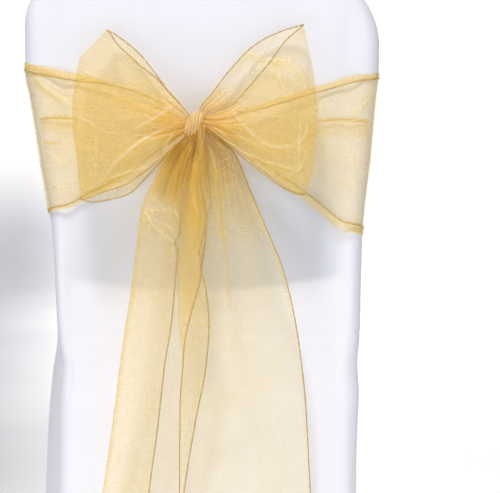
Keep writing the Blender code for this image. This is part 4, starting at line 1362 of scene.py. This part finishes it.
# Each node's type, settings and fixed inputs. Each link runs from a node's output to a node's input.
hemNodes = {
    "curve": ("GeometryNodeMeshToCurve",),
    "even": ("GeometryNodeResampleCurve", {"mode": "LENGTH"}),
    "tilt": ("GeometryNodeSetCurveTilt",),
    "place": ("GeometryNodeSplineParameter",),
    "turns": ("ShaderNodeMath", {"operation": "MULTIPLY"}),
    "whole": ("ShaderNodeMath", {"operation": "MULTIPLY"}, {1: math.tau}),
    "circle": ("GeometryNodeCurvePrimitiveCircle", {}, {"Resolution": 6}),
    "flatten": ("GeometryNodeTransform", {}, {"Scale": (1.0, 0.6, 1.0)}),
    "tube": ("GeometryNodeCurveToMesh", {}, {"Fill Caps": True}),
    "smooth": ("GeometryNodeSetShadeSmooth",),
}
hemLinks = (
    ("start.Geometry", "curve.Mesh"),
    ("curve.Curve", "even.Curve"),
    ("start.Spacing", "even.Length"),
    ("place.Length", "turns.0"),
    ("start.Turns per metre", "turns.1"),
    ("turns.0", "whole.0"),
    ("whole.0", "tilt.Tilt"),
    ("even.Curve", "tilt.Curve"),
    ("start.Radius", "circle.Radius"),
    ("circle.Curve", "flatten.Geometry"),
    ("tilt.Curve", "tube.Curve"),
    ("flatten.Geometry", "tube.Profile Curve"),
    ("tube.Mesh", "smooth.Geometry"),
    ("smooth.Geometry", "realize.Geometry"),
)


def newNode(tree, kind, settings=None, values=None):
    made = tree.nodes.new(kind)
    for name, value in (settings or {}).items():
        setattr(made, name, value)
    for name, value in (values or {}).items():
        made.inputs[name].default_value = value
    return made


def nodeTree(name, sizes, kinds, links, finish):
    # A tree with a named input for each size, ending in real geometry with its material.
    tree = bpy.data.node_groups.new(name, "GeometryNodeTree")
    tree.interface.new_socket("Geometry", in_out="INPUT", socket_type="NodeSocketGeometry")
    entries = {}
    for title, value in sizes.items():
        entries[title] = tree.interface.new_socket(title, in_out="INPUT", socket_type="NodeSocketFloat")
        entries[title].default_value = value
    tree.interface.new_socket("Geometry", in_out="OUTPUT", socket_type="NodeSocketGeometry")
    ends = {
        "start": ("NodeGroupInput",),
        "realize": ("GeometryNodeRealizeInstances",),
        "paint": ("GeometryNodeSetMaterial", {}, {"Material": finish}),
        "end": ("NodeGroupOutput",),
    }
    nodes = {title: newNode(tree, *wanted) for title, wanted in {**kinds, **ends}.items()}
    last = (("realize.Geometry", "paint.Geometry"), ("paint.Geometry", "end.Geometry"))

    def socket(path, side):
        title, name = path.split(".")
        return getattr(nodes[title], side)[int(name) if name.isdigit() else name]

    for first, second in (*links, *last):
        tree.links.new(socket(first, "outputs"), socket(second, "inputs"))
    return tree, {title: entry.identifier for title, entry in entries.items()}


# Topstitches: a short thread laid along the line at every step.
stitchSize = {"Radius": 0.00028, "Step": 0.0030, "Length": 0.0021}


stitchNodes = {
    "curve": ("GeometryNodeMeshToCurve",),
    "steps": ("GeometryNodeCurveToPoints", {"mode": "LENGTH"}),
    "thread": ("GeometryNodeMeshCylinder", {}, {"Vertices": 6}),
    "turned": ("FunctionNodeAlignRotationToVector", {"axis": "Z"}),
    "copies": ("GeometryNodeInstanceOnPoints",),
}
stitchLinks = (
    ("start.Geometry", "curve.Mesh"),
    ("curve.Curve", "steps.Curve"),
    ("start.Step", "steps.Length"),
    ("start.Radius", "thread.Radius"),
    ("start.Length", "thread.Depth"),
    ("steps.Tangent", "turned.Vector"),
    ("steps.Points", "copies.Points"),
    ("thread.Mesh", "copies.Instance"),
    ("turned.Rotation", "copies.Rotation"),
    ("copies.Instances", "realize.Geometry"),
)


def outward(line, out):
    # The line moved out from the cover, at its own level.
    way = np.gradient(line, axis=0)
    side = np.stack([way[:, 1], -way[:, 0], 0 * way[:, 0]], -1)
    return line + out * side / np.linalg.norm(side, axis=1, keepdims=True)


def hemLines(heights):
    rear, ahead = [], []
    for height in heights:
        face = profile("rear", height)
        left, right = profile("left", height), profile("right", height)
        row = rearRow(face, left, right, coverShape["rearRound"], face + coverShape["seamDepth"])
        rear.append(outward(placed(row, height)[3:-3], 0.0004))
        parts = np.concatenate([part[1:] for part in skirtAhead(height)])
        ahead.append(outward(parts[::-1][3:-3], 0.0004))
    return rear, ahead


def stitchObject(name, lines, tree, names):
    return grown(lineObject(name, lines), tree, {names[title]: value for title, value in stitchSize.items()})


def lineObject(name, lines):
    points = np.concatenate(lines)
    edges = []
    start = 0
    for line in lines:
        edges += [(start + k, start + k + 1) for k in range(len(line) - 1)]
        start += len(line)
    mesh = bpy.data.meshes.new(name)
    mesh.from_pydata(points.tolist(), edges, [])
    return inScene(name, mesh)


def grown(made, tree, settings):
    # The object's geometry nodes turned into a plain mesh.
    modifier = made.modifiers.new("follow", "NODES")
    modifier.node_group = tree
    for identifier, value in settings.items():
        modifier[identifier] = value
    graph = bpy.context.evaluated_depsgraph_get()
    mesh = bpy.data.meshes.new_from_object(made.evaluated_get(graph))
    made.modifiers.remove(modifier)
    made.data = mesh
    mesh.name = made.name
    return made


def hemObject(name, lines, tree, names, radius):
    made = lineObject(name, lines)
    settings = {names[title]: value for title, value in hemSize.items()}
    settings[names["Radius"]] = radius
    return grown(made, tree, settings)


def buildSash(finish, edging):
    grids = {
        "band": bandGrid(),
        "bow_left": loopGrid(leftLoop),
        "bow_right": loopGrid(rightLoop),
        "tail_left": leftTailGrid(),
        "tail_right": rightTailGrid(),
    }
    tree, names = nodeTree("rolled hem", hemSize, hemNodes, hemLinks, edging)
    pieces = {}
    for name, (points, layers, glint, crushed) in grids.items():
        flat = flatPlaces(points, ribbonWidth)
        marks = {"layers": layers, "glint": glint, "crushed": crushed}
        pieces[name] = gridObject(f"sash_{name}", points, flat, finish, **marks)
        lines = [points[:, 0], points[:, -1]]
        if name.startswith("tail"):
            lines.append(points[-1])
        pieces[name + "_hem"] = hemObject(f"sash_{name}_hem", lines, tree, names, hemSize["Radius"])
    pieces["knot"] = knotObject(finish)
    pieces["flap"] = flapObject(finish)
    return pieces


# The room, its light and the camera.
stageShape = {"front": -7.0, "wall": 7.5, "round": 2.0, "top": 6.0, "half": 11.0}
stageLook = {
    "colours": ((0.57, 0.565, 0.595, 1.0), (0.98, 0.98, 0.98, 1.0)),
    "glows": ((0.31, 0.305, 0.335, 1.0), (1.0, 1.0, 1.0, 1.0)),
    "strength": 0.42,
    "right": (-0.55, 0.20),
    "high": (-0.75, -0.10),
}


def stageFinish():
    # A pale glowing backdrop, a little greyer low on the left, as in the photo.
    finish = Finish("backdrop")
    look = stageLook
    place = finish.here()
    x, z = (finish.node("ShaderNodeSeparateXYZ", None, {"Vector": place}, axis) for axis in "XZ")
    cloud = finish.noise(place, 0.8)
    right = finish.eased(x + cloud * 0.25, *look["right"])
    high = finish.eased(z + cloud * 0.2, *look["high"])
    lit = finish.node("ShaderNodeClamp", None, {"Value": right * 1.1 + high + (cloud - 0.5) * 0.25})
    return finish.surface({
        "Base Color": finish.mixed(lit, *look["colours"]),
        "Roughness": 0.75,
        "Specular IOR Level": 0.2,
        "Emission Color": finish.mixed(lit, *look["glows"]),
        "Emission Strength": look["strength"],
    })


def buildStage(finish):
    shape = stageShape
    bend, low = shape["round"], -coverHeight
    line = [(shape["front"], low), (0.0, low), (shape["wall"] - bend, low)]
    for k in range(1, 17):
        turned = math.pi / 2 * k / 16
        line.append((shape["wall"] - bend + bend * math.sin(turned), low + bend - bend * math.cos(turned)))
    line.append((shape["wall"], shape["top"]))
    points = np.array([[(x, y, z) for x in np.linspace(-shape["half"], shape["half"], 9)] for y, z in line])
    made = gridObject("floor", points, flatPlaces(points, 1.0), finish)


def aimed(made, place, target):
    made.location = place
    made.rotation_euler = (Vector(target) - Vector(place)).to_track_quat("-Z", "Y").to_euler()


def light(name, place, target, size, energy, colour):
    lamp = bpy.data.lights.new(name, "AREA")
    lamp.shape = "SQUARE"
    lamp.size = size
    lamp.energy = energy
    lamp.color = colour
    aimed(inScene(name, lamp), place, target)


cameraShape = {
    "place": (-0.112, -1.888, -0.194),
    "target": (0.053, 0.0, -0.327),
    "sensor": 36,
    "focalPixels": 1583,
    "photoWidth": 500,
}


def buildCamera():
    lens = bpy.data.cameras.new("camera")
    lens.sensor_width = cameraShape["sensor"]
    lens.lens = cameraShape["focalPixels"] * cameraShape["sensor"] / cameraShape["photoWidth"]
    lens.clip_start = 0.05
    made = inScene("camera", lens)
    aimed(made, cameraShape["place"], cameraShape["target"])
    bpy.context.scene.camera = made


# Each lamp's name, place, target, size, watts and colour.
lamps = (
    ("key", (-0.65, -1.9, 3.0), (0.0, 0.0, -0.25), 0.55, 128, (1.0, 0.985, 0.96)),
    ("fill", (1.6, -2.2, 0.1), (0.0, 0.0, -0.4), 1.6, 3.5, (0.94, 0.96, 1.0)),
    ("low", (-0.9, -1.1, -0.85), (-0.10, 0.0, -0.80), 0.6, 5.5, (0.98, 0.98, 1.0)),
    ("behind", (1.2, 3.4, 2.0), (0.6, 7.5, -0.6), 2.0, 80, (1.0, 1.0, 1.0)),
)
roomShape = {"colour": (0.93, 0.95, 1.0, 1.0), "strength": 0.13}


def buildLight():
    scene = bpy.context.scene
    world = bpy.data.worlds.new("room")
    world.use_nodes = True
    background = world.node_tree.nodes["Background"]
    background.inputs["Color"].default_value = roomShape["colour"]
    background.inputs["Strength"].default_value = roomShape["strength"]
    scene.world = world
    for lamp in lamps:
        light(*lamp)
    scene.view_settings.view_transform = "Standard"
    scene.cycles.transparent_max_bounces = 32


cloth = spandexFinish()
organza = organzaFinish()
edging = hemFinish()
print("materials made")
cover = buildCover(cloth)
stitching, stitchNames = nodeTree("topstitch", stitchSize, stitchNodes, stitchLinks, threadFinish())
stitches = {
    name: stitchObject(f"cover_{name}_stitches", lines, stitching, stitchNames)
    for name, lines in zip(("back", "seat_front"), hemLines(coverShape["stitchHeights"]))
}
print("cover built:", sum(len(piece.data.polygons) for piece in cover.values()), "faces")
sash = buildSash(organza, edging)
print("sash built:", sum(len(piece.data.polygons) for piece in sash.values()), "faces")
buildStage(stageFinish())
buildLight()
buildCamera()
print("stage, lamps and camera set")

# Each sash piece's flat length.
sashLengths = {"band": 1.02, "bow_left": 0.29, "bow_right": 0.29, "tail_left": 0.49, "tail_right": 0.50}
for name, piece in cover.items():
    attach(piece, "root")
    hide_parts(f"cover_{name}")
    onIt = [stitches[name]] if name in stitches else []
    for thread in onIt:
        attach(thread, "root")
for name, piece in sash.items():
    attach(piece, "root")
for name, length in sashLengths.items():
    onIt = [sash[name + "_hem"]] + ([sash["knot"], sash["flap"]] if name == "band" else [])
    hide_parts("sash")
